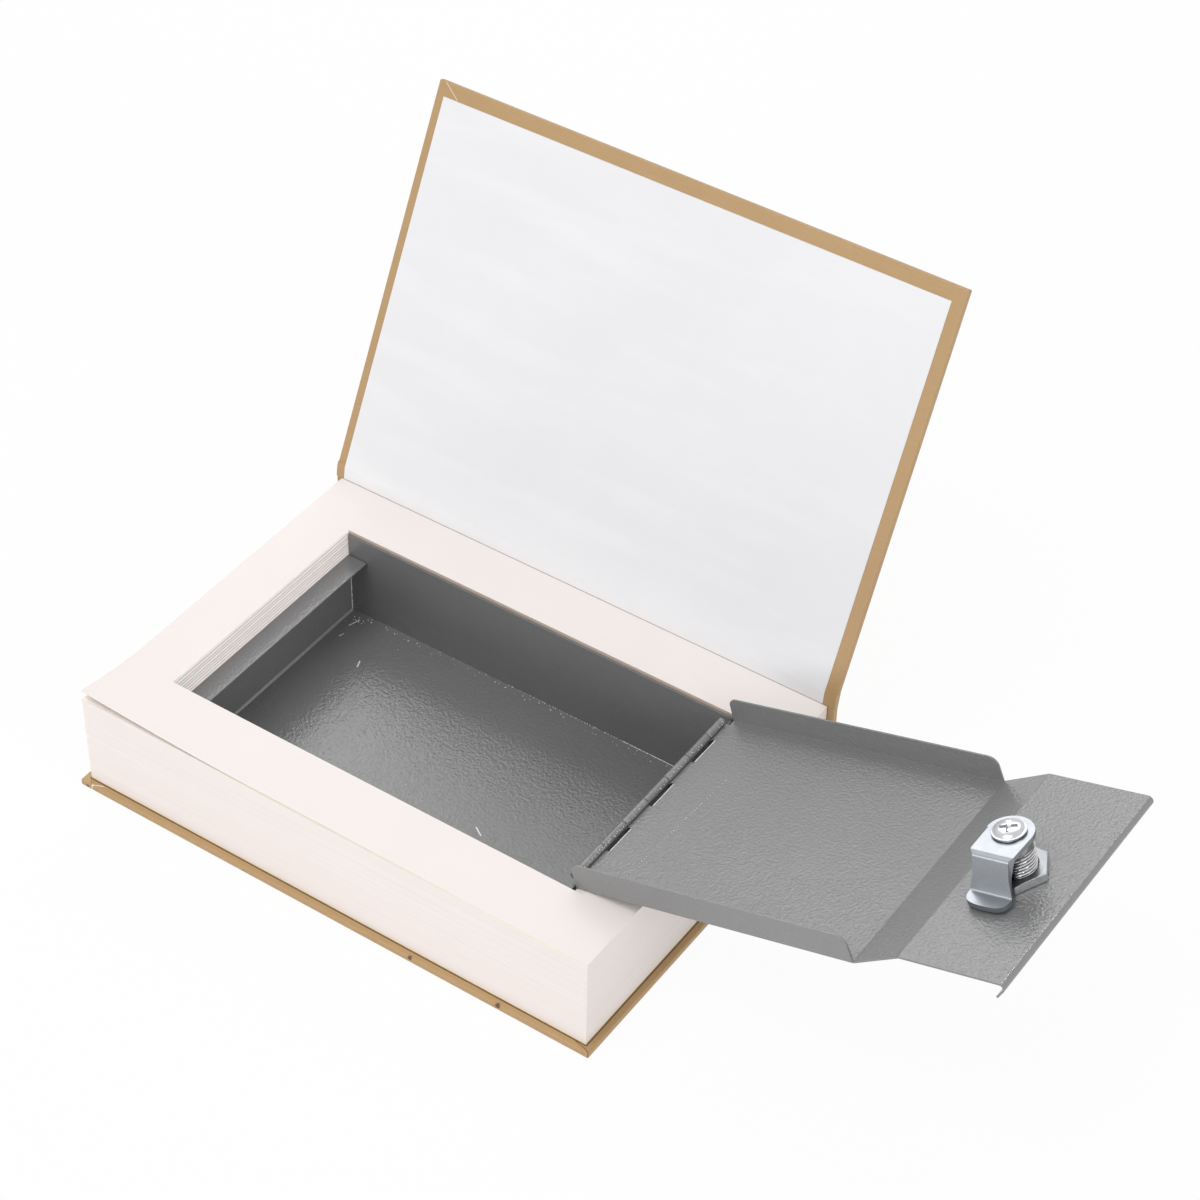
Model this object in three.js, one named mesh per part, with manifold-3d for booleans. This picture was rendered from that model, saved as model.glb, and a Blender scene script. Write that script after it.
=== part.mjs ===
// Book diversion safe: a hardcover book whose pages hold a folded steel box with a hinged,
// locking lid. Millimetres, +Z up. +X runs along the spine from the latch end to the hinge end,
// +Y runs from the fore-edge to the spine, and the origin is the middle of the back cover's
// underside. It stands open: front cover leaning back, lid laid out over the tail, cam unlocked.

import * as THREE from 'three';
import { mergeVertices } from 'three/addons/utils/BufferGeometryUtils.js';
import Module from 'manifold-3d';

const wasm = await Module();
wasm.setup();

// Case: sheets and boards of the cover
const wrapSheet = 0.3;
const glueGap = 0.1;
const boardSheet = 2.1;
const endpaperSheet = 0.2;
const coverSquare = 3.1;
const frontOverhang = 1.2;
const turnIn = 15;
const endpaperLatchBorder = 3.9;
const endpaperHingeBorder = 5.5;
const endpaperForeBorder = 6.2;
const spineGap = 0.4;

// Joint strip of bare cover paper between the spine and the front board, creased at both ends
const jointInset = 0.5;
const jointRise = 0.3;
const jointLength = 4.5;
const jointEndGap = 0.2;
const jointLining = 0.3;
const jointBoardGap = 0.5;
const spineDrop = 0.1;
const coverOpenAngle = 63;

// Page block, its window and the loose top leaf
const pageLength = 240;
const pageDepth = 165;
const pageHeight = 43.05;
const leafSheet = 0.25;
const leafGap = 0.1;
const leafLift = 1.9;
const leafLiftLength = 90;
const leafLiftDepth = 30;
const leafLiftSteps = 6;
const windowLatchMargin = 23;
const windowHingeMargin = 25.2;
const windowForeMargin = 27.6;
const windowSpineMargin = 25;
const sectionGroove = 0.8;
const sectionGrooveHeight = 0.4;
const sectionHeightShares = [0.07, 0.2, 0.33, 0.45, 0.6, 0.72, 0.87];

// Steel tray
const steel = 0.8;
const trayGap = 0.3;
const trayLift = 0.2;
const trayTopDrop = 1.5;
const cornerSeam = 0.4;
const latchDrop = 12.2;
const latchFlange = 9.5;

// Hinge: knuckles rolled from the lid and the tray in turn, on one pin
const hingeInset = 3.9;
const hingeDrop = 0.28;
const knuckleRadius = 1.7;
const knuckleGap = 0.3;
const knuckleEndShares = [0, 0.1802, 0.3228, 0.4653, 0.6079, 0.7505, 0.8931, 1];
const barrelFrontInset = 5.9;
const barrelBackInset = 5.5;
const curlAngle = 280;
const pinRadius = 0.75;
const pinInset = 0.4;
const strapRoom = 0.6;
const slotDepth = 3.3;

// Lid: plate, side flanges, ramp down to the recessed end plate, and the turned-back end lip
const lidOpenTilt = 16.4;
const lidShutTilt = 1.34;
const lidSideGap = 0.9;
const lidEndGap = 1;
const lidShutGap = 0.3;
const lidRestGap = 0.3;
const rampLength = 19.9;
const endPlateLength = 41.7;
const lipLength = 4.8;
const lipBendAngle = 130;
const lidBendRadius = 1.2;
const sideFlangeHeight = 10.4;
const sideFlangeEndInset = 1.2;
const sideFlangeCorner = 4.5;
const sideFlangeHeelCorner = 3;

// Cam lock: barrel through the end plate, nut, turning plug, cam and its screw
const lockInset = 25.1;
const lockRadius = 8;
const lockFlatHalf = 7;
const lockHeadRadius = 9.6;
const lockHeadHeight = 1.9;
const lockHeadRim = 0.6;
const lockBarrelHeight = 15.9;
const lockBoreRadius = 5.7;
const lockHoleGap = 0.3;
const plugRadius = 5.4;
const plugEndGap = 0.3;
const tangHalf = 3.6;
const tangCornerRadius = 4.5;
const keywayWidth = 2.2;
const keywayHeight = 6.4;
const keywayDepth = 12.4;
const nutHalfFlat = 11;
const nutHeight = 3.4;
const nutGap = 0.3;
const nutChamfer = 0.8;
const nutTurn = 27;
const camSheet = 2;
const camGap = 0.25;
const camRadius = 9;
const camArmHalf = 8.5;
const camWaistHalf = 7.2;
const camArmLength = 14;
const camCrankRun = 3.5;
const camReach = 24;
const camFootHalf = 8.35;
const camFootGap = 1.6;
const camHoleGap = 0.3;
const camBendRadius = 0.6;
const screwHeadRadius = 6.4;
const screwHeadHeight = 1.9;
const screwHeadEdge = 0.7;
const screwShankRadius = 2;
const screwShankLength = 6.5;
const screwBoreGap = 0.25;
const crossLength = 7;
const crossWidth = 1.6;
const crossDepth = 1.1;

// Wafer tumblers inside the plug
const waferCount = 5;
const waferSheet = 0.8;
const waferPitch = 2.1;
const waferStart = 0.2;
const waferHalfWidth = 2.6;
const waferRadius = 5.2;
const waferGap = 0.3;
const waferGrooveRadius = 6.4;
const waferKeyHalf = 1.4;
const waferKeyHeight = 2.6;

// Small values for cutting and for round shapes
const overrun = 1;
const snapStep = 0.0005;
const roundSteps = 48;
const curlSteps = 16;
const bendSteps = 4;
const cornerSteps = 6;

// Heights, from the table upwards
const caseStack = 2 * wrapSheet + 2 * glueGap + boardSheet;
const endpaperTop = caseStack + glueGap + endpaperSheet;
const blockBottom = endpaperTop + glueGap;
const blockTop = blockBottom + pageHeight;
const leafBottom = blockTop + leafGap;
const pageTop = leafBottom + leafSheet;

// Case in plan
const coverHalf = pageLength / 2 + coverSquare;
const coverFront = -pageDepth / 2 - coverSquare;
const spineInner = pageDepth / 2 + spineGap;
const spineOuter = spineInner + caseStack;
const spineTop = pageTop - spineDrop;
const creaseY = spineOuter - jointInset;
const lowCreaseZ = spineTop + jointRise;
const highCreaseZ = lowCreaseZ + jointLength;
const coverReach = creaseY + pageDepth / 2 + frontOverhang;

// Window, tray and hinge in plan
const windowX0 = -pageLength / 2 + windowLatchMargin;
const windowX1 = pageLength / 2 - windowHingeMargin;
const windowY0 = -pageDepth / 2 + windowForeMargin;
const windowY1 = pageDepth / 2 - windowSpineMargin;
const windowMiddle = (windowY0 + windowY1) / 2;
const hingeX = windowX1 - hingeInset;
const barrelY0 = windowY0 + barrelFrontInset;
const barrelY1 = windowY1 - barrelBackInset;
const hingeZ = pageTop - hingeDrop;
const trayX0 = windowX0 + trayGap;
const trayX1 = hingeX + knuckleRadius;
const trayY0 = windowY0 + trayGap;
const trayY1 = windowY1 - trayGap;
const trayBottom = endpaperTop + trayLift;
const trayTop = pageTop - trayTopDrop;
const latchTop = pageTop - latchDrop;
const curlInner = knuckleRadius - steel;
const tiltOpen = THREE.MathUtils.degToRad(lidOpenTilt);
const tiltShut = THREE.MathUtils.degToRad(lidShutTilt);
const hingeWallTop = hingeZ - knuckleRadius / Math.cos(tiltOpen) - strapRoom;

// Lid, measured from the hinge axis: u along the lid, w up from its inner side
const lidReach = hingeX - trayX0 - lidEndGap;
const lidY0 = trayY0 + steel + lidSideGap;
const lidY1 = trayY1 - steel - lidSideGap;
const rampEnd = lidReach - endPlateLength;
const rampStart = rampEnd - rampLength;
const lidSeatHeight = hingeZ - latchTop - lidShutGap - lidReach * Math.sin(tiltShut);
const endPlateInner = lidSeatHeight / Math.cos(tiltShut);
const endPlateOuter = endPlateInner - steel;
const lockU = lidReach - lockInset;

// Colours
const clothTan = { color: 0xb4935a, roughness: 0.55, metalness: 0 };
const greyBoard = { color: 0x9a938a, roughness: 0.95, metalness: 0 };
const whitePaper = { color: 0xededf0, roughness: 0.8, metalness: 0 };
const creamPaper = { color: 0xf3ece6, roughness: 0.9, metalness: 0 };
const greySteel = { color: 0x7a7a7a, roughness: 0.45, metalness: 0.2 };
const zincSteel = { color: 0xc9ccd0, roughness: 0.28, metalness: 0.95 };
const brass = { color: 0xb99d5a, roughness: 0.35, metalness: 0.9 };

// A closed geometry as a solid that can be joined and cut, its corners snapped so that level
// faces meet exactly
function solid(geometry) {
  const shell = geometry.clone();
  shell.deleteAttribute('normal');
  shell.deleteAttribute('uv');
  const merged = mergeVertices(shell);
  const corners = merged.index.array;
  const triangles = [];
  for (let i = 0; i < corners.length; i += 3) {
    const [a, b, c] = corners.slice(i, i + 3);
    if (a !== b && b !== c && c !== a) triangles.push(a, b, c);
  }
  const snapped = merged.attributes.position.array.map((value) => Math.round(value / snapStep) * snapStep);
  const vertProperties = new Float32Array(snapped);
  const triVerts = new Uint32Array(triangles);
  return new wasm.Manifold(new wasm.Mesh({ numProp: 3, vertProperties, triVerts }));
}

// The geometry of a solid
function geometryOf(body) {
  const mesh = body.getMesh();
  const geometry = new THREE.BufferGeometry();
  geometry.setAttribute('position', new THREE.BufferAttribute(new Float32Array(mesh.vertProperties), 3));
  geometry.setIndex(new THREE.BufferAttribute(new Uint32Array(mesh.triVerts), 1));
  return geometry.toNonIndexed();
}

// A box between two corners
function box(x0, x1, y0, y1, z0, z1) {
  const geometry = new THREE.BoxGeometry(x1 - x0, y1 - y0, z1 - z0);
  geometry.translate((x0 + x1) / 2, (y0 + y1) / 2, (z0 + z1) / 2);
  return solid(geometry);
}

// A shape extruded upwards from z0 to z1
function upright(shape, z0, z1, steps = roundSteps) {
  const geometry = new THREE.ExtrudeGeometry(shape, { depth: z1 - z0, bevelEnabled: false, curveSegments: steps });
  geometry.translate(0, 0, z0);
  return solid(geometry);
}

// A shape drawn in X and Z, extruded along Y from y0 to y1
function alongY(shape, y0, y1, steps = curlSteps) {
  const geometry = new THREE.ExtrudeGeometry(shape, { depth: y1 - y0, bevelEnabled: false, curveSegments: steps });
  geometry.rotateX(Math.PI / 2);
  geometry.translate(0, y1, 0);
  return solid(geometry);
}

// A shape drawn in Y and Z, extruded along X from x0 to x1
function alongX(shape, x0, x1, steps = curlSteps) {
  const geometry = new THREE.ExtrudeGeometry(shape, { depth: x1 - x0, bevelEnabled: false, curveSegments: steps });
  const basis = new THREE.Matrix4().makeBasis(
    new THREE.Vector3(0, 1, 0),
    new THREE.Vector3(0, 0, 1),
    new THREE.Vector3(1, 0, 0),
  );
  geometry.applyMatrix4(basis);
  geometry.translate(x0, 0, 0);
  return solid(geometry);
}

// A turned body about Z from a profile of [radius, height] points
function turned(profile, steps = roundSteps) {
  const points = profile.map(([radius, height]) => new THREE.Vector2(radius, height));
  const geometry = new THREE.LatheGeometry(points, steps);
  geometry.rotateX(Math.PI / 2);
  return solid(geometry);
}

function rod(radius, z0, z1, steps = roundSteps) {
  return turned([[0, z0], [radius, z0], [radius, z1], [0, z1]], steps);
}

function polygon(points) {
  return new THREE.Shape(points.map(([a, b]) => new THREE.Vector2(a, b)));
}

// A path along one face of a bent sheet, its corners rounded so that the inside of each bend has
// the given radius
function roundedPath(path, thickness, bendRadius) {
  const corners = path.map(([a, b]) => new THREE.Vector2(a, b));
  const rounded = [corners[0]];
  for (let i = 1; i + 1 < corners.length; i += 1) {
    const before = corners[i].clone().sub(corners[i - 1]).normalize();
    const after = corners[i + 1].clone().sub(corners[i]).normalize();
    const turn = Math.atan2(before.cross(after), before.dot(after));
    const outside = Math.sign(turn) === Math.sign(thickness);
    const radius = bendRadius + (outside ? Math.abs(thickness) : 0);
    const start = corners[i].clone().addScaledVector(before, -radius * Math.tan(Math.abs(turn) / 2));
    const left = new THREE.Vector2(-before.y, before.x);
    const middle = start.clone().addScaledVector(left, Math.sign(turn) * radius);
    for (let k = 0; k <= bendSteps; k += 1) {
      rounded.push(start.clone().rotateAround(middle, (turn * k) / bendSteps));
    }
  }
  rounded.push(corners[corners.length - 1]);
  return rounded;
}

// The outline of a bent sheet: a path along one face, and the same path offset to its left
function foldedSheet(path, thickness, bendRadius) {
  const points = roundedPath(path, thickness, bendRadius);
  const normals = [];
  for (let i = 0; i + 1 < points.length; i += 1) {
    const run = points[i + 1].clone().sub(points[i]).normalize();
    normals.push(new THREE.Vector2(-run.y, run.x));
  }
  const offset = points.map((point, i) => {
    const before = normals[Math.max(i - 1, 0)];
    const after = normals[Math.min(i, normals.length - 1)];
    const mitre = before.clone().add(after).normalize();
    return point.clone().addScaledVector(mitre, thickness / mitre.dot(after));
  });
  return new THREE.Shape([...points, ...offset.reverse()]);
}

function join(bodies) {
  return bodies.reduce((whole, body) => whole.add(body));
}

function cut(body, tools) {
  return tools.reduce((rest, tool) => rest.subtract(tool), body);
}

function piece(name, body, finish) {
  const mesh = new THREE.Mesh(geometryOf(body), new THREE.MeshStandardMaterial(finish));
  mesh.name = name;
  return mesh;
}

// Case: boards

function backBoard() {
  const edge = wrapSheet + glueGap;
  return box(
    -coverHalf + edge, coverHalf - edge,
    coverFront + edge, spineOuter - edge,
    edge, edge + boardSheet,
  );
}

function spineBoard() {
  const edge = wrapSheet + glueGap;
  return box(
    -coverHalf + edge, coverHalf - edge,
    spineInner + edge, spineOuter - edge,
    edge + boardSheet + glueGap, spineTop - edge,
  );
}

// One sheet round the back and spine boards, folded over their edges and mitred by the overlap
function backWrap() {
  const shell = join([
    box(-coverHalf, coverHalf, coverFront, spineOuter, 0, caseStack),
    box(-coverHalf, coverHalf, spineInner, spineOuter, 0, spineTop),
  ]);
  const inside = coverHalf - wrapSheet;
  return cut(shell, [
    box(-inside, inside, coverFront + wrapSheet, spineOuter - wrapSheet, wrapSheet, caseStack - wrapSheet),
    box(-inside, inside, spineInner + wrapSheet, spineOuter - wrapSheet, wrapSheet, spineTop - wrapSheet),
    box(
      -coverHalf + turnIn, coverHalf - turnIn,
      coverFront + turnIn, spineInner + wrapSheet + glueGap,
      caseStack - wrapSheet - glueGap, spineTop - wrapSheet - glueGap,
    ),
  ]);
}

function backEndpaper() {
  const half = pageLength / 2 - glueGap;
  return box(-half, half, -pageDepth / 2 + glueGap, pageDepth / 2 - glueGap, caseStack + glueGap, endpaperTop);
}

// Front cover, drawn flat from the crease: y runs to the fore-edge, z to the inner side

function frontBoard() {
  const edge = wrapSheet + glueGap;
  return box(
    -coverHalf + edge, coverHalf - edge,
    jointBoardGap + glueGap, coverReach - edge,
    -boardSheet / 2, boardSheet / 2,
  );
}

function frontWrap() {
  const half = caseStack / 2;
  const inside = half - wrapSheet;
  return cut(box(-coverHalf, coverHalf, jointBoardGap, coverReach, -half, half), [
    box(-coverHalf + wrapSheet, coverHalf - wrapSheet, 0, coverReach - wrapSheet, -inside, inside),
    box(-coverHalf + turnIn, coverHalf - turnIn, 0, coverReach - turnIn, 0, half + overrun),
  ]);
}

function frontEndpaper() {
  const bottom = caseStack / 2 + glueGap;
  return box(
    -coverHalf + endpaperLatchBorder, coverHalf - endpaperHingeBorder,
    jointBoardGap, coverReach - endpaperForeBorder,
    bottom, bottom + endpaperSheet,
  );
}

// Joint strip, drawn about the low crease: z runs up to the high crease, y outwards

function jointWrap() {
  const half = wrapSheet + (glueGap + jointLining - wrapSheet) / 2;
  const top = jointLength - jointEndGap;
  return cut(box(-coverHalf, coverHalf, -half, half, jointEndGap, top), [
    box(
      -coverHalf + endpaperLatchBorder - glueGap, coverHalf - endpaperHingeBorder + glueGap,
      -half - overrun, half - wrapSheet,
      jointEndGap - overrun, top + overrun,
    ),
  ]);
}

function jointEndpaper() {
  const half = wrapSheet + (glueGap + jointLining - wrapSheet) / 2;
  return box(
    -coverHalf + endpaperLatchBorder, coverHalf - endpaperHingeBorder,
    -half, half - wrapSheet - glueGap,
    jointEndGap, jointLength - jointEndGap,
  );
}

// Pages

// The page block: a window through it, the sections' edges showing at the latch end, and the
// hinge-side edge of the window pressed down where the open lid lies
function pageBlock() {
  const halfLength = pageLength / 2;
  const halfDepth = pageDepth / 2;
  const block = box(-halfLength, halfLength, -halfDepth, halfDepth, blockBottom, blockTop);
  const tools = [
    box(windowX0, windowX1, windowY0, windowY1, blockBottom - overrun, blockTop + overrun),
    alongY(pressedEdge(), windowY0, windowY1),
  ];
  const wall = blockTop - latchTop;
  for (const share of sectionHeightShares) {
    const height = latchTop + wall * share;
    tools.push(box(
      windowX0 - sectionGroove, windowX0 + overrun,
      windowY0, windowY1,
      height, height + sectionGrooveHeight,
    ));
  }
  return cut(block, tools);
}

// Height of the open lid's underside over a place along X, less the gap it keeps
function restHeight(x) {
  return hingeZ + (x - hingeX) * Math.tan(tiltOpen) - knuckleRadius / Math.cos(tiltOpen) - lidRestGap;
}

function restPlace(height) {
  return windowX1 + (height - restHeight(windowX1)) / Math.tan(tiltOpen);
}

function pressedEdge() {
  const far = restPlace(blockTop + overrun);
  return polygon([
    [windowX1 - overrun, restHeight(windowX1 - overrun)],
    [far, blockTop + overrun],
    [windowX1 - overrun, blockTop + overrun],
  ]);
}

// The loose top leaf, with its fore-edge corner at the latch end lifted off the block
function topLeaf() {
  const halfLength = pageLength / 2;
  const halfDepth = pageDepth / 2;
  const windowFar = restPlace(pageTop);
  const xs = [];
  for (let i = 0; i <= leafLiftSteps; i += 1) {
    xs.push(-halfLength + (leafLiftLength * i) / leafLiftSteps);
  }
  xs.push(windowX0, windowFar, halfLength);
  xs.sort((a, b) => a - b);
  const ys = [];
  for (let i = 0; i <= leafLiftSteps; i += 1) {
    ys.push(-halfDepth + (leafLiftDepth * i) / leafLiftSteps);
  }
  ys.push(windowY0, windowY1, halfDepth);
  ys.sort((a, b) => a - b);
  const lift = (x, y) => {
    const awayX = Math.min(1, (x + halfLength) / leafLiftLength);
    const awayY = Math.min(1, (y + halfDepth) / leafLiftDepth);
    return leafLift * (1 - awayX) ** 2 * (1 - awayY) ** 2;
  };
  const open = (i, j) => {
    const x = (xs[i] + xs[i + 1]) / 2;
    const y = (ys[j] + ys[j + 1]) / 2;
    return x > windowX0 && x < windowFar && y > windowY0 && y < windowY1;
  };
  return solid(sheetGrid(xs, ys, lift, open));
}

// A sheet on a grid of places, lifted by a function, with cells left open by another
function sheetGrid(xs, ys, lift, open) {
  const triangles = [];
  const corner = (i, j, height) => new THREE.Vector3(xs[i], ys[j], height + lift(xs[i], ys[j]));
  const quad = (a, b, c, d) => triangles.push(a, b, c, a, c, d);
  const filled = (i, j) => (
    i >= 0 && j >= 0 && i + 1 < xs.length && j + 1 < ys.length && !open(i, j)
  );
  for (let i = 0; i + 1 < xs.length; i += 1) {
    for (let j = 0; j + 1 < ys.length; j += 1) {
      if (!filled(i, j)) continue;
      const top = [corner(i, j, pageTop), corner(i + 1, j, pageTop), corner(i + 1, j + 1, pageTop),
        corner(i, j + 1, pageTop)];
      const low = [corner(i, j, leafBottom), corner(i + 1, j, leafBottom),
        corner(i + 1, j + 1, leafBottom), corner(i, j + 1, leafBottom)];
      quad(top[0], top[1], top[2], top[3]);
      quad(low[0], low[3], low[2], low[1]);
      if (!filled(i, j - 1)) quad(low[0], low[1], top[1], top[0]);
      if (!filled(i + 1, j)) quad(low[1], low[2], top[2], top[1]);
      if (!filled(i, j + 1)) quad(low[2], low[3], top[3], top[2]);
      if (!filled(i - 1, j)) quad(low[3], low[0], top[0], top[3]);
    }
  }
  return new THREE.BufferGeometry().setFromPoints(triangles);
}

// Hinge

// Where each knuckle lies along Y, counted from the front end of the barrel
function knuckles() {
  const spans = [];
  for (let i = 0; i + 1 < knuckleEndShares.length; i += 1) {
    spans.push({
      y0: barrelY0 + (barrelY1 - barrelY0) * knuckleEndShares[i] + knuckleGap / 2,
      y1: barrelY0 + (barrelY1 - barrelY0) * knuckleEndShares[i + 1] - knuckleGap / 2,
      onLid: i % 2 === 0,
    });
  }
  return spans;
}

// A sheet edge rolled into a knuckle about (x, z): the sheet comes up from below on its +X side
function rolledEdge(x, z, tail) {
  const turn = THREE.MathUtils.degToRad(curlAngle);
  const shape = new THREE.Shape();
  shape.moveTo(x + knuckleRadius, z - tail);
  shape.absarc(x, z, knuckleRadius, 0, turn, false);
  shape.absarc(x, z, curlInner, turn, 0, true);
  shape.lineTo(x + curlInner, z - tail);
  return shape;
}

function hingePin() {
  const shape = new THREE.Shape();
  shape.absarc(hingeX, hingeZ, pinRadius, 0, 2 * Math.PI, false);
  return alongY(shape, barrelY0 + pinInset, barrelY1 - pinInset);
}

// Tray: a floor with side walls and end walls folded up from it, open seams at the corners, the
// latch wall bent inwards into a flange, and the knuckles rolled from the hinge wall
function tray() {
  const front = trayY0 + steel;
  const back = trayY1 - steel;
  const bodies = [
    box(trayX0, trayX1, trayY0, trayY1, trayBottom, trayBottom + steel),
    box(trayX0, trayX0 + steel, front + cornerSeam, back - cornerSeam, trayBottom, latchTop),
    box(trayX0, trayX0 + latchFlange, front + cornerSeam, back - cornerSeam, latchTop - steel, latchTop),
    box(hingeX + curlInner, trayX1, front + cornerSeam, back - cornerSeam, trayBottom, hingeWallTop),
    box(trayX0, trayX1, trayY0, front, trayBottom, trayTop),
    box(trayX0, trayX1, back, trayY1, trayBottom, trayTop),
  ];
  const tail = hingeZ - hingeWallTop + steel;
  const curl = rolledEdge(hingeX, hingeZ, tail);
  for (const { y0, y1, onLid } of knuckles()) {
    if (!onLid) bodies.push(alongY(curl, y0, y1));
  }
  return join(bodies);
}

// Lid, drawn about the hinge axis: x runs along it, z up from its inner side

function lidPlate() {
  const path = foldedSheet([
    [slotDepth, -knuckleRadius],
    [rampStart, -knuckleRadius],
    [rampEnd, endPlateOuter],
    ...endLip(),
  ], steel, lidBendRadius);
  const bodies = [alongY(path, lidY0, lidY1)];
  const curl = rolledEdge(0, 0, slotDepth + steel);
  const turned90 = [0, -90, 0];
  for (const { y0, y1, onLid } of knuckles()) {
    if (onLid) bodies.push(alongY(mirroredAcross(curl), y0, y1).rotate(turned90));
  }
  for (const [y0, y1] of [[lidY0, lidY0 + steel], [lidY1 - steel, lidY1]]) {
    bodies.push(alongY(sideFlange(), y0, y1, cornerSteps));
  }
  const hole = lockRadius + lockHoleGap;
  const flat = lockFlatHalf + lockHoleGap;
  const lockHole = rod(hole, -overrun, endPlateInner + overrun)
    .intersect(box(-hole, hole, -flat, flat, -overrun, endPlateInner + overrun))
    .translate([lockU, windowMiddle, 0]);
  return join(bodies).subtract(lockHole);
}

// The end lip's corner and tip: the bend reaches the lid's full length, and the lip runs back
// beneath the end plate
function endLip() {
  const bend = THREE.MathUtils.degToRad(lipBendAngle);
  const setback = lidBendRadius * Math.tan(bend / 2);
  const corner = lidReach - steel - lidBendRadius + setback;
  const run = setback + lipLength;
  return [
    [corner, endPlateOuter],
    [corner + run * Math.cos(bend), endPlateOuter - run * Math.sin(bend)],
  ];
}

// The same rolled edge seen from the other side
function mirroredAcross(shape) {
  const points = shape.getPoints(curlSteps).map((point) => new THREE.Vector2(-point.x, point.y));
  return new THREE.Shape(points.reverse());
}

// A side flange: square to the plate, its toe at the ramp leaning back to a rounded corner, and a
// small round at the heel
function sideFlange() {
  const bottom = -knuckleRadius;
  const top = -curlInner + sideFlangeHeight;
  const toe = rampStart - sideFlangeEndInset;
  const shape = new THREE.Shape();
  shape.moveTo(slotDepth, bottom);
  shape.lineTo(rampStart - steel / 2, bottom);
  shape.lineTo(toe, top - sideFlangeCorner);
  shape.absarc(toe - sideFlangeCorner, top - sideFlangeCorner, sideFlangeCorner, 0, Math.PI / 2, false);
  shape.lineTo(slotDepth + sideFlangeHeelCorner, top);
  shape.absarc(
    slotDepth + sideFlangeHeelCorner, top - sideFlangeHeelCorner,
    sideFlangeHeelCorner, Math.PI / 2, Math.PI, false,
  );
  return shape;
}

// Lock, drawn about its own axis with z = 0 on the inner side of the end plate

function lockHousing() {
  const top = lockBarrelHeight;
  const face = -steel - lockHoleGap - lockHeadHeight;
  const head = turned([
    [0, face], [lockHeadRadius - lockHeadRim, face], [lockHeadRadius, face + lockHeadRim],
    [lockHeadRadius, -steel - lockHoleGap], [0, -steel - lockHoleGap],
  ]);
  const barrel = rod(lockRadius, face + lockHeadRim, top).intersect(
    box(-lockRadius, lockRadius, -lockFlatHalf, lockFlatHalf, face, top + overrun),
  );
  const grooveEnd = waferStart + waferPitch * waferCount;
  const groove = waferHalfWidth + waferGap;
  return cut(join([head, barrel]), [
    rod(lockBoreRadius, face - overrun, top + overrun),
    box(-groove, groove, -waferGrooveRadius, waferGrooveRadius, face + lockHeadHeight, grooveEnd),
    box(-waferGrooveRadius, waferGrooveRadius, -groove, groove, face + lockHeadHeight, grooveEnd),
  ]);
}

function lockPlug() {
  const face = -steel - lockHoleGap - lockHeadHeight;
  const shoulder = lockBarrelHeight + camGap - plugEndGap;
  const tang = rod(tangCornerRadius, 0, shoulder + camSheet).intersect(
    box(-tangHalf, tangHalf, -tangHalf, tangHalf, 0, shoulder + camSheet),
  );
  const bore = screwShankRadius + screwBoreGap;
  const tools = [
    box(-keywayWidth / 2, keywayWidth / 2, -keywayHeight / 2, keywayHeight / 2, face - overrun, face + keywayDepth),
    rod(bore, shoulder + camSheet - screwShankLength - overrun, shoulder + camSheet + overrun, roundSteps / 2),
  ];
  const half = waferHalfWidth + waferGap;
  for (let i = 0; i < waferCount; i += 1) {
    const z0 = waferStart + i * waferPitch - waferGap;
    tools.push(box(-half, half, -lockRadius, lockRadius, z0, z0 + waferSheet + 2 * waferGap));
  }
  return cut(join([rod(plugRadius, face, shoulder), tang]), tools);
}

// A wafer: a plate with round ends that sits level with the plug, and a slot for the key
function wafer(index) {
  const z0 = waferStart + index * waferPitch;
  const plate = rod(waferRadius, z0, z0 + waferSheet, roundSteps / 2)
    .intersect(box(-waferHalfWidth, waferHalfWidth, -waferRadius, waferRadius, z0 - overrun, z0 + overrun));
  return plate.subtract(
    box(-waferKeyHalf, waferKeyHalf, -waferKeyHeight, waferKeyHeight, z0 - overrun, z0 + overrun),
  );
}

function lockNut() {
  const corner = nutHalfFlat / Math.cos(Math.PI / 6);
  const bottom = nutGap;
  const top = nutGap + nutHeight;
  const prism = rod(corner, bottom, top, 6);
  const chamfer = turned([
    [0, bottom - overrun], [corner + overrun, bottom - overrun], [corner + overrun, top - nutChamfer],
    [nutHalfFlat, top], [0, top],
  ]);
  const bore = rod(lockRadius + nutGap, bottom - overrun, top + overrun);
  return prism.intersect(chamfer).subtract(bore).rotate([0, 0, nutTurn]);
}

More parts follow.
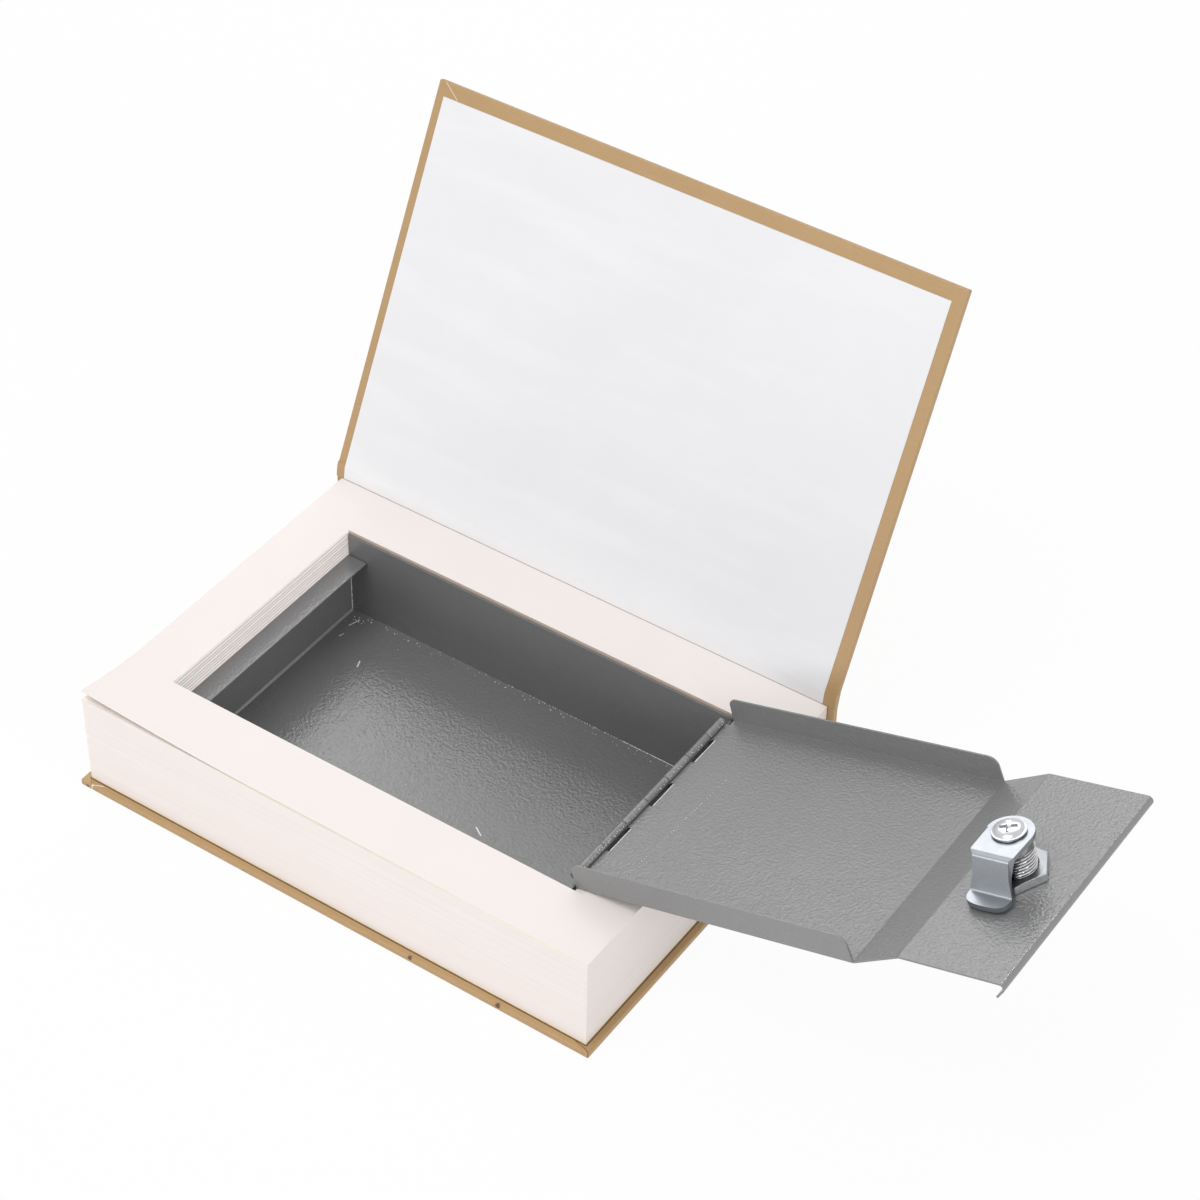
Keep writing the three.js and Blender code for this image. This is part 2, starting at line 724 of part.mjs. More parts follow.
// Cam: a flat arm with a round end, cranked down to a foot that hooks under the latch flange
function lockCam() {
  const seat = lockBarrelHeight + camGap;
  const drop = Math.atan2(seat - camFootGap, camCrankRun);
  const inset = camSheet * Math.tan(drop / 2);
  const bend = camArmLength - inset;
  const side = foldedSheet([
    [camRadius + overrun, seat],
    [-bend, seat],
    [-bend - camCrankRun, camFootGap],
    [-camReach - overrun, camFootGap],
  ], -camSheet, camBendRadius);
  const heel = camArmLength + camCrankRun;
  const plan = new THREE.Shape();
  plan.moveTo(camArmHalf, 0);
  plan.absarc(0, 0, camRadius, 0, Math.PI, false);
  plan.lineTo(-camArmHalf, 0);
  plan.lineTo(-camArmHalf, -camArmLength + inset);
  plan.lineTo(-camWaistHalf, -camArmLength);
  plan.lineTo(-camWaistHalf, -heel + inset);
  plan.lineTo(-camFootHalf, -heel);
  plan.bezierCurveTo(-camFootHalf, -camReach + inset, -camFootHalf + inset, -camReach, 0, -camReach);
  plan.bezierCurveTo(camFootHalf - inset, -camReach, camFootHalf, -camReach + inset, camFootHalf, -heel);
  plan.lineTo(camWaistHalf, -heel + inset);
  plan.lineTo(camWaistHalf, -camArmLength);
  plan.lineTo(camArmHalf, -camArmLength + inset);
  const hole = tangHalf + camHoleGap;
  return alongX(side, -camRadius - overrun, camRadius + overrun)
    .intersect(upright(plan, -overrun, seat + camSheet + overrun, roundSteps / 4))
    .subtract(box(-hole, hole, -hole, hole, seat - overrun, seat + camSheet + overrun));
}

function camScrew() {
  const seat = lockBarrelHeight + camGap + camSheet + camGap;
  const top = seat + screwHeadHeight;
  const body = turned([
    [0, seat - screwShankLength], [screwShankRadius, seat - screwShankLength], [screwShankRadius, seat],
    [screwHeadRadius, seat], [screwHeadRadius, top - screwHeadEdge], [screwHeadRadius - screwHeadEdge, top],
    [0, top],
  ], roundSteps);
  const long = crossLength / 2;
  const wide = crossWidth / 2;
  return cut(body, [
    box(-long, long, -wide, wide, top - crossDepth, top + overrun),
    box(-wide, wide, -long, long, top - crossDepth, top + overrun),
  ]);
}

// Assembly

const safe = new THREE.Group();

safe.add(piece('back_board', backBoard(), greyBoard));
safe.add(piece('spine_board', spineBoard(), greyBoard));
safe.add(piece('back_wrap', backWrap(), clothTan));
safe.add(piece('back_endpaper', backEndpaper(), creamPaper));
safe.add(piece('page_block', pageBlock(), creamPaper));
safe.add(piece('top_leaf', topLeaf(), creamPaper));
safe.add(piece('tray', tray(), greySteel));
safe.add(piece('hinge_pin', hingePin(), zincSteel));

const joint = new THREE.Group();
joint.position.set(0, creaseY, lowCreaseZ);
joint.add(piece('joint_wrap', jointWrap(), clothTan));
joint.add(piece('joint_endpaper', jointEndpaper(), whitePaper));
safe.add(joint);

const cover = new THREE.Group();
cover.position.set(0, creaseY, highCreaseZ);
cover.rotation.x = THREE.MathUtils.degToRad(coverOpenAngle);
cover.add(piece('front_board', frontBoard(), greyBoard));
cover.add(piece('front_wrap', frontWrap(), clothTan));
cover.add(piece('front_endpaper', frontEndpaper(), whitePaper));
safe.add(cover);

const lid = new THREE.Group();
lid.position.set(hingeX, 0, hingeZ);
lid.rotation.y = -tiltOpen;
lid.add(piece('lid', lidPlate(), greySteel));

const lock = new THREE.Group();
lock.position.set(lockU, windowMiddle, endPlateInner);
lock.add(piece('lock_housing', lockHousing(), zincSteel));
lock.add(piece('lock_plug', lockPlug(), brass));
lock.add(piece('lock_nut', lockNut(), zincSteel));
lock.add(piece('lock_cam', lockCam(), zincSteel));
lock.add(piece('cam_screw', camScrew(), zincSteel));
for (let i = 0; i < waferCount; i += 1) {
  lock.add(piece(`wafer_${i + 1}`, wafer(i), brass));
}
lid.add(lock);
safe.add(lid);

export default safe;
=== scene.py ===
"""A hardcover book that hides a folded steel box, standing open with its lid laid out."""
import math

import bmesh
import bpy
from mathutils import Matrix, Vector


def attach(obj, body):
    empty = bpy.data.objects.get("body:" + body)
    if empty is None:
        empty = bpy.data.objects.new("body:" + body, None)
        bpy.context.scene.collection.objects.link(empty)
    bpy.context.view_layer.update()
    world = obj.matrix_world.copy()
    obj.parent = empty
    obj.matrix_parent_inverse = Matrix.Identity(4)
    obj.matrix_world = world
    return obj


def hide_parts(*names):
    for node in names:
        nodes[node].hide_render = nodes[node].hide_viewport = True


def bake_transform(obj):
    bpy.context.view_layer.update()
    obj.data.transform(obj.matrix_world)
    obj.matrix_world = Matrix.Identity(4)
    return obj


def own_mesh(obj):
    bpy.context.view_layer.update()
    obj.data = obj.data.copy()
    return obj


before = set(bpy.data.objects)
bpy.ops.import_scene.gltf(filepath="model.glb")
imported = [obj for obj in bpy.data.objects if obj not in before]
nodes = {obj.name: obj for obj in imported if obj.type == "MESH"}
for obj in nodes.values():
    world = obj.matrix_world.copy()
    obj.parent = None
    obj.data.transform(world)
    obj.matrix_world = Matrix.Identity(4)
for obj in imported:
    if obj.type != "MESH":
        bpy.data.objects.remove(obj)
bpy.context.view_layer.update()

# The view: a long lens from the front right and well above, with its frame centred as the
# photograph's is. The camera looks along the third row of the matrix, backwards.
camera_place = Vector((0.553025, -0.728386, 0.923926))
camera_turn = Matrix((
    (0.824073, 0.566277, 0.015321),
    (-0.388349, 0.545039, 0.743046),
    (0.412419, -0.618274, 0.669065),
)).transposed()
camera_data = bpy.data.cameras.new("view")
camera_data.sensor_width = 36
camera_data.lens = 97.111
camera_data.clip_end = 50
camera = bpy.data.objects.new("view", camera_data)
camera.matrix_world = Matrix.Translation(camera_place) @ camera_turn.to_4x4()
bpy.context.scene.collection.objects.link(camera)
bpy.context.scene.camera = camera
bpy.context.scene.view_settings.view_transform = "Standard"


# The studio: a white table and surround, an even sky light and four wide soft boxes. The
# socket class and the node method that every material below uses are defined here.
class Socket:
    """A node's output that adds Math nodes when it is used in an expression."""

    def __init__(self, tree, out):
        self.tree = tree
        self.out = out

    def math(self, operation, *values):
        return self.tree.node("ShaderNodeMath", {"operation": operation}, *values)

    def __add__(self, other):
        return self.math("ADD", self, other)

    def __radd__(self, other):
        return self.math("ADD", other, self)

    def __sub__(self, other):
        return self.math("SUBTRACT", self, other)

    def __rsub__(self, other):
        return self.math("SUBTRACT", other, self)

    def __mul__(self, other):
        return self.math("MULTIPLY", self, other)

    def __rmul__(self, other):
        return self.math("MULTIPLY", other, self)

    def __truediv__(self, other):
        return self.math("DIVIDE", self, other)

    def size(self):
        return self.math("ABSOLUTE", self)

    def most(self, other):
        return self.math("MAXIMUM", self, other)

    def least(self, other):
        return self.math("MINIMUM", self, other)

    def step(self, start, end, low=0.0, high=1.0):
        """From low at start to high at end, level beyond both."""
        return self.tree.node(
            "ShaderNodeMapRange", {"clamp": True}, self, start, end, low, high
        )


class Wiring:
    """A node tree under construction."""

    def __init__(self, tree):
        self.links = tree.links
        self.nodes = tree.nodes
        self.nodes.clear()

    def feed(self, socket, value):
        if isinstance(value, Socket):
            self.links.new(value.out, socket)
        elif isinstance(value, (tuple, list)) and len(value) == 3 and socket.type == "RGBA":
            socket.default_value = (*value, 1)
        else:
            socket.default_value = value

    def node(self, kind, settings=None, *values, out=0, **named):
        made = self.nodes.new(kind)
        for key, value in (settings or {}).items():
            setattr(made, key, value)
        for socket, value in zip(made.inputs, values):
            if value is not None:
                self.feed(socket, value)
        for key, value in named.items():
            self.feed(made.inputs[key.replace("_", " ")], value)
        return Socket(self, made.outputs[out])

    def seen_rays(self):
        """1 for rays that see the surround: from the camera, by reflection or through glass."""
        seen = self.node("ShaderNodeLightPath", out="Is Camera Ray")
        for kind in ("Is Glossy Ray", "Is Transmission Ray"):
            seen = seen.most(self.node("ShaderNodeLightPath", out=kind))
        return seen


class Finish(Wiring):
    """A material under construction, with one Principled shader."""

    def __init__(self, name, **shader):
        self.material = bpy.data.materials.new(name)
        self.material.use_nodes = True
        super().__init__(self.material.node_tree)
        self.output = self.nodes.new("ShaderNodeOutputMaterial")
        self.shader = self.nodes.new("ShaderNodeBsdfPrincipled")
        self.links.new(self.shader.outputs[0], self.output.inputs["Surface"])
        for key, value in shader.items():
            self.feed(self.shader.inputs[key.replace("_", " ")], value)

    def place(self, scale=(1, 1, 1), turn=(0, 0, 0), shift=(0, 0, 0)):
        """Object coordinates in millimetres, scaled, turned and shifted."""
        object_place = self.node("ShaderNodeTexCoord", out="Object")
        scale_mm = tuple(1000 * value for value in scale)
        return self.node("ShaderNodeMapping", None, object_place, shift, turn, scale_mm)

    def axes(self, vector):
        parts = self.nodes.new("ShaderNodeSeparateXYZ")
        self.feed(parts.inputs[0], vector)
        return [Socket(self, parts.outputs[i]) for i in range(3)]

    def noise(self, vector, scale, detail=2.0, rough=0.5):
        return self.node(
            "ShaderNodeTexNoise", None, vector, Scale=scale, Detail=detail, Roughness=rough
        )

    def mix(self, share, first, second):
        made = self.nodes.new("ShaderNodeMix")
        made.data_type = "RGBA"
        self.feed(made.inputs[0], share)
        self.feed(made.inputs[6], first)
        self.feed(made.inputs[7], second)
        return Socket(self, made.outputs[2])

    def colour(self, value):
        self.feed(self.shader.inputs["Base Color"], value)

    def bump(self, height, strength, depth_mm):
        made = self.nodes.new("ShaderNodeBump")
        self.feed(made.inputs["Height"], height)
        made.inputs["Strength"].default_value = strength
        made.inputs["Distance"].default_value = depth_mm / 1000
        self.links.new(made.outputs[0], self.shader.inputs["Normal"])


table_half = 3.0
table_drop = 0.0002
table_glow = 0.95
sky_fill = 0.48
table_mesh = bpy.data.meshes.new("table")
table_mesh.from_pydata(
    [(-table_half, -table_half, 0), (table_half, -table_half, 0),
     (table_half, table_half, 0), (-table_half, table_half, 0)],
    [], [(0, 1, 2, 3)],
)
table = bpy.data.objects.new("table", table_mesh)
bpy.context.scene.collection.objects.link(table)
table.location.z = -table_drop
table_finish = Finish("white_table", Base_Color=(0.86, 0.86, 0.86), Roughness=0.9)
glow = table_finish.node("ShaderNodeEmission", None, (1.0, 1.0, 1.0), 1.0)
table_mix = table_finish.nodes.new("ShaderNodeMixShader")
table_finish.feed(table_mix.inputs[0], table_finish.seen_rays() * table_glow)
table_finish.links.new(table_finish.shader.outputs[0], table_mix.inputs[1])
table_finish.links.new(glow.out, table_mix.inputs[2])
table_finish.links.new(table_mix.outputs[0], table_finish.output.inputs["Surface"])
table_mesh.materials.append(table_finish.material)

world = bpy.data.worlds.new("surround")
bpy.context.scene.world = world
world.use_nodes = True
sky = Wiring(world.node_tree)
sky_shade = sky.nodes.new("ShaderNodeBackground")
sky_out = sky.nodes.new("ShaderNodeOutputWorld")
sky_shade.inputs["Color"].default_value = (1, 1, 1, 1)
sky.feed(sky_shade.inputs["Strength"], sky.seen_rays().step(0.0, 1.0, sky_fill, 1.0))
sky.links.new(sky_shade.outputs[0], sky_out.inputs["Surface"])

soft_boxes = {
    "key_box": ((-0.3, -0.9, 2.1), (0.0, 0.0, 0.03), 1.3, 1.0, 17.0),
    "back_box": ((-0.75, 1.1, 1.15), (0.05, 0.0, 0.03), 1.3, 0.9, 7.5),
    "front_box": ((-0.4, -2.1, 0.3), (0.0, 0.0, 0.03), 1.6, 0.5, 9.0),
    "side_box": ((1.7, -0.4, 0.8), (0.05, 0.0, 0.04), 0.9, 0.8, 10.0),
}
for name, (place, target, wide, high, watts) in soft_boxes.items():
    lamp = bpy.data.lights.new(name, "AREA")
    lamp.shape = "RECTANGLE"
    lamp.size = wide
    lamp.size_y = high
    lamp.energy = watts
    lamp_object = bpy.data.objects.new(name, lamp)
    lamp_object.location = place
    aim = Vector(target) - Vector(place)
    lamp_object.rotation_euler = aim.to_track_quat("-Z", "Y").to_euler()
    bpy.context.scene.collection.objects.link(lamp_object)


# Back cover and spine: grey board wrapped in one sheet of tan laminated paper, which is turned
# in over the edges. The wrap's corners are soft and slightly worn.
def cover_paper(name, nicks=(), lines=(), lined_side=(0, 0, 1)):
    paper = Finish(name, Roughness=0.42, Specular_IOR_Level=0.45)
    place = paper.place()
    broad = paper.noise(place, 0.035, 3.0)
    fibre = paper.noise(paper.place(), 1.6, 3.0, 0.7)
    streak = paper.noise(paper.place((0.05, 1.6, 1.6)), 1.0, 2.0)
    tone = paper.mix(broad, (0.450, 0.285, 0.130), (0.500, 0.325, 0.155))
    tone = paper.mix(fibre.step(0.35, 0.75) * 0.4, tone, (0.365, 0.225, 0.105))
    tone = paper.mix(streak.step(0.5, 0.8) * 0.2, tone, (0.56, 0.39, 0.21))
    for centre, radius, dark in nicks:
        away = paper.node(
            "ShaderNodeVectorMath", {"operation": "DISTANCE"}, place, centre, out="Value"
        )
        ragged = away + (fibre - 0.5) * radius
        tone = paper.mix(1 - ragged.step(radius * 0.7, radius), tone, dark)
    x, y = paper.axes(place)[:2]
    normal = paper.node("ShaderNodeTexCoord", out="Normal")
    towards = paper.node(
        "ShaderNodeVectorMath", {"operation": "DOT_PRODUCT"}, normal, lined_side, out="Value"
    )
    lined = towards.step(-0.3, -0.1)
    for (x0, y0), (x1, y1), half_width, tint in lines:
        length = math.hypot(x1 - x0, y1 - y0)
        along = ((x - x0) * (x1 - x0) + (y - y0) * (y1 - y0)) / length
        across = ((x - x0) * (y1 - y0) - (y - y0) * (x1 - x0)) / length
        near = 1 - (across + (fibre - 0.5) * 0.2).size().step(half_width * 0.6, half_width)
        inside = along.step(-0.2, 0.2) * (1 - along.step(length - 0.2, length + 0.2))
        tone = paper.mix(near * inside * lined, tone, tint)
    paper.colour(tone)
    paper.feed(paper.shader.inputs["Roughness"], 0.36 + fibre * 0.16)
    paper.bump(fibre, 0.25, 0.05)
    return paper.material


def finished(name, mesh, material, body=None, replaced=(), smooth=None):
    """A mesh as an object on its body, standing for the nodes it replaces."""
    if smooth:
        mesh.shade_smooth()
        mesh.set_sharp_from_angle(angle=math.radians(smooth))
    piece = bpy.data.objects.new(name, mesh)
    bpy.context.scene.collection.objects.link(piece)
    mesh.materials.clear()
    mesh.materials.append(material)
    if body:
        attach(piece, body)
    if replaced:
        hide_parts(*replaced)
    return piece


def softened(mesh_name, bm, edge_mm, segments=2, angle=30):
    """Closes a mesh's loose faces, rounds its sharp edges and gives a plain mesh."""
    bmesh.ops.remove_doubles(bm, verts=bm.verts, dist=2e-6)
    bmesh.ops.dissolve_limit(bm, angle_limit=math.radians(1), verts=bm.verts, edges=bm.edges)
    raw = bpy.data.meshes.new(mesh_name + "_raw")
    bm.to_mesh(raw)
    bm.free()
    raw.shade_smooth()
    holder = bpy.data.objects.new(mesh_name + "_raw", raw)
    bpy.context.scene.collection.objects.link(holder)
    rounding = holder.modifiers.new("rounding", "BEVEL")
    rounding.width = edge_mm / 1000
    rounding.segments = segments
    rounding.limit_method = "ANGLE"
    rounding.angle_limit = math.radians(angle)
    rounding.use_clamp_overlap = True
    levelling = holder.modifiers.new("level_faces", "WEIGHTED_NORMAL")
    levelling.weight = 80
    levelling.keep_sharp = False
    seen_now = bpy.context.evaluated_depsgraph_get()
    mesh = bpy.data.meshes.new_from_object(holder.evaluated_get(seen_now))
    mesh.name = mesh_name
    bpy.data.objects.remove(holder)
    return mesh


def block(bm, low, high):
    """A plain box between two corners, in millimetres."""
    made = bmesh.ops.create_cube(bm, size=1.0)["verts"]
    for vert in made:
        vert.co = Vector(
            (low[i] if vert.co[i] < 0 else high[i]) / 1000 for i in range(3)
        )
    return made


wrap_corner = 0.55
cover_half = 123.1
cover_front = -85.6
spine_inner = 82.9
spine_outer = 85.8
spine_top = 46.6
case_stack = 2.9
profile = [
    (cover_front, 0), (spine_outer, 0), (spine_outer, spine_top), (spine_inner, spine_top),
    (spine_inner, case_stack), (cover_front, case_stack),
]
bm = bmesh.new()
ends = [
    [bm.verts.new((x / 1000, y / 1000, z / 1000)) for y, z in profile]
    for x in (-cover_half, cover_half)
]
bm.faces.new(list(reversed(ends[0])))
bm.faces.new(ends[1])
for i in range(len(profile)):
    j = (i + 1) % len(profile)
    bm.faces.new((ends[0][i], ends[0][j], ends[1][j], ends[1][i]))
bmesh.ops.recalc_face_normals(bm, faces=bm.faces)
back_paper = cover_paper(
    "tan_cover_paper_back",
    nicks=[
        ((41.0, -85.4, 2.4), 1.1, (0.10, 0.055, 0.025)),
        ((82.0, -85.4, 2.2), 1.3, (0.10, 0.055, 0.025)),
        ((-119.6, -85.5, 1.2), 0.7, (0.03, 0.015, 0.01)),
        ((-40.0, -85.6, 0.5), 0.8, (0.30, 0.19, 0.09)),
    ],
    lines=[
        # The first three lines are painted shadow in the gap along the foot of the page block;
        # the rest are marks in the wrap near its corners.
        ((-120.4, -82.85), (120.4, -82.85), 0.3, (0.15, 0.085, 0.035)),
        ((120.4, -82.9), (120.4, 82.5), 0.3, (0.15, 0.085, 0.035)),
        ((-120.4, -82.9), (-120.4, 82.5), 0.3, (0.15, 0.085, 0.035)),
        ((115.6, -83.1), (118.9, -83.7), 0.17, (0.13, 0.07, 0.03)),
        ((118.9, -83.7), (121.3, -84.3), 0.2, (0.13, 0.07, 0.03)),
        ((121.3, -84.3), (123.2, -85.6), 0.2, (0.13, 0.07, 0.03)),
        ((-120.7, -82.7), (-118.9, -83.7), 0.16, (0.22, 0.13, 0.06)),
        ((-118.9, -83.7), (-118.0, -85.6), 0.16, (0.22, 0.13, 0.06)),
        ((-117.5, -85.6), (-112.7, -83.5), 0.2, (0.88, 0.84, 0.80)),
    ],
)
finished(
    "back_cover_wrap", softened("back_cover_wrap", bm, wrap_corner, 3), back_paper,
    "case", ["back_wrap"],
)

# Boards: three pieces of grey chipboard, cut to size and glued inside the cover paper. Only
# their edges can show, at the spine.
board = Finish("grey_chipboard", Roughness=0.95)
board_fleck = board.noise(board.place(), 1.2, 4.0, 0.8)
board.colour(board.mix(board_fleck, (0.26, 0.23, 0.20), (0.40, 0.36, 0.32)))
board.bump(board_fleck, 0.4, 0.1)


def dress(names, material):
    """Gives nodes of the solids a material and leaves their shape as it is."""
    for name in names:
        nodes[name].data.materials.clear()
        nodes[name].data.materials.append(material)


dress(("back_board", "spine_board", "front_board"), board.material)

# Front cover: the same board and wrap, standing open at 63 degrees, with the turned-in wrap
# showing as a frame round the white endpaper. The turn-in has a crack near one corner.
cover_angle = math.radians(63)
crease_y = 85.3
crease_z = 51.4
cover_reach = 169.0
cover_start = 0.5
half_case = case_stack / 2
cover_place = Matrix.Translation((0, crease_y / 1000, crease_z / 1000)) @ Matrix.Rotation(
    cover_angle, 4, "X"
)
bm = bmesh.new()
block(bm, (-cover_half, cover_start, -half_case), (cover_half, cover_reach, half_case))
front_mesh = softened("front_cover_wrap", bm, wrap_corner, 3)
front_mesh.transform(cover_place)


def on_cover(x, r, height=0.0):
    """A place on the open cover, x along the spine and r out from the crease, in mm."""
    place = cover_place @ Vector((x / 1000, r / 1000, height / 1000))
    return tuple(1000 * value for value in place)


front_paper = cover_paper(
    "tan_cover_paper_front",
    nicks=[
        (on_cover(-123, 169, 0), 1.5, (0.38, 0.24, 0.14)),
        (on_cover(123, 169, 0), 1.4, (0.38, 0.24, 0.14)),
    ],
    lines=[
        ((-119.9, 160.6), (-112.7, 158.1), 0.11, (0.74, 0.62, 0.48)),
    ],
    lined_side=(0, -0.891, 0.454),
)
finished(
    "front_cover_wrap", front_mesh, front_paper, "front_cover", ["front_wrap"]
)

# Endpaper of the front cover: one white sheet pasted inside the board, faintly cockled where
# the paste has dried.
endpaper_low_x = -119.2
endpaper_high_x = 117.6
endpaper_start = 1.0
endpaper_reach = cover_reach - 6.2
endpaper_sheet = 0.2
paste_gap = 0.05
cockle_height = 0.03
white_paper = Finish("white_endpaper", Roughness=0.6, Specular_IOR_Level=0.35)
wp_place = white_paper.place()
wp_broad = white_paper.noise(wp_place, 0.018, 3.0, 0.6)
wp_streak = white_paper.noise(white_paper.place((0.012, 0.09, 0.06)), 1.0, 3.0)
wp_fibre = white_paper.noise(wp_place, 2.2, 3.0, 0.7)
wp_tone = white_paper.mix(wp_broad, (0.79, 0.79, 0.81), (0.84, 0.84, 0.855))
wp_tone = white_paper.mix(wp_streak.step(0.5, 0.75) * 0.35, wp_tone, (0.90, 0.90, 0.91))
wp_speck = white_paper.noise(wp_place, 0.45, 1.0).step(0.86, 0.9)
white_paper.colour(white_paper.mix(wp_speck * 0.3, wp_tone, (0.62, 0.60, 0.58)))
white_paper.bump(wp_streak * 0.6 + wp_fibre * 0.05, 0.22, 0.25)

columns = 60
rows = 42
flat_rim = 3
bm = bmesh.new()
sheet_bottom = half_case + paste_gap
grid = []
for i in range(columns + 1):
    line = []
    for j in range(rows + 1):
        x = endpaper_low_x + (endpaper_high_x - endpaper_low_x) * i / columns
        r = endpaper_start + (endpaper_reach - endpaper_start) * j / rows
        sway = math.sin(0.045 * x + 0.6 * math.sin(0.03 * r))
        cockle = cockle_height * sway * math.sin(0.05 * r)
        edge = min(i, columns - i, rows - j) / flat_rim
        line.append((x, r, endpaper_sheet + cockle * min(1.0, edge)))
    grid.append(line)
top_verts = [[bm.verts.new((x, r, sheet_bottom + h)) for x, r, h in line] for line in grid]
low_verts = [[bm.verts.new((x, r, sheet_bottom)) for x, r, h in line] for line in grid]
for i in range(columns):
    for j in range(rows):
        bm.faces.new((
            top_verts[i][j], top_verts[i + 1][j], top_verts[i + 1][j + 1], top_verts[i][j + 1]
        ))
        bm.faces.new((
            low_verts[i][j], low_verts[i][j + 1], low_verts[i + 1][j + 1], low_verts[i + 1][j]
        ))
for i in range(columns):
    for j, flip in ((0, False), (rows, True)):
        corners = (low_verts[i][j], low_verts[i + 1][j], top_verts[i + 1][j], top_verts[i][j])
        bm.faces.new(tuple(reversed(corners)) if flip else corners)
for j in range(rows):
    for i, flip in ((0, True), (columns, False)):
        corners = (low_verts[i][j], low_verts[i][j + 1], top_verts[i][j + 1], top_verts[i][j])
        bm.faces.new(tuple(reversed(corners)) if flip else corners)
bmesh.ops.scale(bm, vec=(0.001, 0.001, 0.001), verts=bm.verts)
endpaper_mesh = bpy.data.meshes.new("front_endpaper_sheet")
bm.to_mesh(endpaper_mesh)
bm.free()
endpaper_mesh.transform(cover_place)
finished(
    "front_endpaper_sheet", endpaper_mesh, white_paper.material,
    "front_cover", ["front_endpaper"], smooth=30,
)

# Joint: the bare strip of wrap and endpaper between the spine and the front board. It bends at
# both creases and is made in two halves, one bending at the spine's crease and one at the
# board's.
outer_path = [
    (85.66, 45.6), (85.72, 46.6), (85.95, 47.6), (86.2, 48.9), (86.45, 50.2), (86.66, 51.1),
    (87.0, 51.75),
]
inner_path = [
    (82.75, 46.72), (82.9, 47.0), (83.02, 47.8), (83.2, 49.1), (83.42, 50.5), (83.78, 52.1),
    (84.4, 53.43),
]
lined_wrap = 0.35
lining_sheet = 0.3
stretch_points = 4
middle = 12


def joint_strip(name, stations, outer):
    """One closed strip along X under one outer path. A station is an x and the inner path there,
    and two stations at the same x make a step to a thinner or thicker strip."""
    bm = bmesh.new()
    made = []
    for x, inner in stations:
        stepped = bool(made) and made[-1][0] == x
        made.append((
            x,
            [bm.verts.new((x / 1000, y / 1000, z / 1000)) for y, z in inner],
            made[-1][2] if stepped
            else [bm.verts.new((x / 1000, y / 1000, z / 1000)) for y, z in outer],
        ))
    last = len(outer) - 1
    for (x0, a0, b0), (x1, a1, b1) in zip(made, made[1:]):
        for k in range(last):
            bm.faces.new((a0[k], a0[k + 1], a1[k + 1], a1[k]))
            if x0 != x1:
                bm.faces.new((b0[k], b1[k], b1[k + 1], b0[k + 1]))
    for x, inner_verts, outer_verts in (made[0], made[-1]):
        for k in range(last):
            bm.faces.new((inner_verts[k], outer_verts[k], outer_verts[k + 1], inner_verts[k + 1]))
    for end in (0, last):
        bm.faces.new([verts[end] for _, verts, _ in made] + [
            made[k][2][end] for k in range(len(made) - 1, -1, -1)
            if k == 0 or made[k][0] != made[k - 1][0]
        ])
    bmesh.ops.recalc_face_normals(bm, faces=bm.faces)
    mesh = bpy.data.meshes.new(name)
    bm.to_mesh(mesh)
    bm.free()
    return mesh


def finer(path, count):
    """The same path with evenly counted points along each stretch."""
    points = []
    for (y0, z0), (y1, z1) in zip(path, path[1:]):
        points += [(y0 + (y1 - y0) * k / count, z0 + (z1 - z0) * k / count) for k in range(count)]
    return points + [path[-1]]


def shifted(path, by):
    """The same path, moved along Y."""
    return [(y + by, z) for y, z in path]


joint_halves = {
    "low": (
        slice(0, middle + 1), "case", "cover_joint",
        (0, 0.0853, 0.0463), (0, 0.0853, 0.0477),
    ),
    "high": (
        slice(middle, 2 * middle + 1), "cover_joint", "front_cover",
        (0, 0.0853, 0.0505), (0, 0.0856, 0.0521),
    ),
}
outer_fine = finer(outer_path, stretch_points)
inner_fine = finer(inner_path, stretch_points)
joint_paper = cover_paper("tan_cover_paper_joint")
for half_name, (part, lower_body, upper_body, bend_start, bend_end) in joint_halves.items():
    outer = outer_fine[part]
    inner = inner_fine[part]
    thin = shifted(outer, -lined_wrap)
    strip_mesh = joint_strip(
        "joint_wrap_" + half_name,
        [(-cover_half, inner), (endpaper_low_x, inner), (endpaper_low_x, thin),
         (endpaper_high_x, thin), (endpaper_high_x, inner), (cover_half, inner)],
        outer,
    )
    strip = finished(
        "joint_wrap_" + half_name, strip_mesh, joint_paper, None,
        ["joint_wrap"] if half_name == "low" else [], smooth=30,
    )
    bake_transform(strip)
    lining_mesh = joint_strip(
        "joint_endpaper_" + half_name,
        [(endpaper_low_x, inner), (endpaper_high_x, inner)],
        shifted(inner, lining_sheet),
    )
    lining = finished(
        "joint_endpaper_" + half_name, lining_mesh, white_paper.material, None,
        ["joint_endpaper"] if half_name == "low" else [], smooth=30,
    )
    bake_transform(lining)

# Page block: cream paper glued into one block with a window cut through it. Its outer sides
# show the edges of the leaves, and the window's wall at the latch end the gaps between its
# sections, darkened with painted shade. That wall is painted lighter and given a faint glow,
# as painted light.
page_half_length = 120.0
page_half_depth = 82.5
section_gaps = [35.33, 36.87, 38.41, 39.83, 41.61, 43.03, 44.81]
pages = Finish(
    "cream_pages", Roughness=0.72, Specular_IOR_Level=0.3, Emission_Strength=0.3
)
pg_place = pages.place()
pg_x, pg_y, pg_z = pages.axes(pg_place)
pg_normal = pages.node("ShaderNodeNewGeometry", out="Normal")
pg_nx, pg_ny, pg_nz = pages.axes(pg_normal)
pg_side = 1 - pg_nz.size().step(0.4, 0.8)
leaf_fine = pages.noise(pages.place((0.02, 0.02, 7.0)), 1.0, 2.0, 0.7)
leaf_group = pages.noise(pages.place((0.008, 0.008, 1.1)), 1.0, 3.0, 0.6)
pg_soft = pages.noise(pg_place, 0.03, 3.0)
pg_tone = pages.mix(pg_soft, (0.890, 0.825, 0.795), (0.920, 0.860, 0.835))
# The latch wall is painted lighter than the rest of the block, as painted light.
latch_wall = pg_x.step(-98.4, -98.2) * pg_x.step(-96.4, -96.2, 1.0, 0.0) * pg_nx.step(0.4, 0.6)
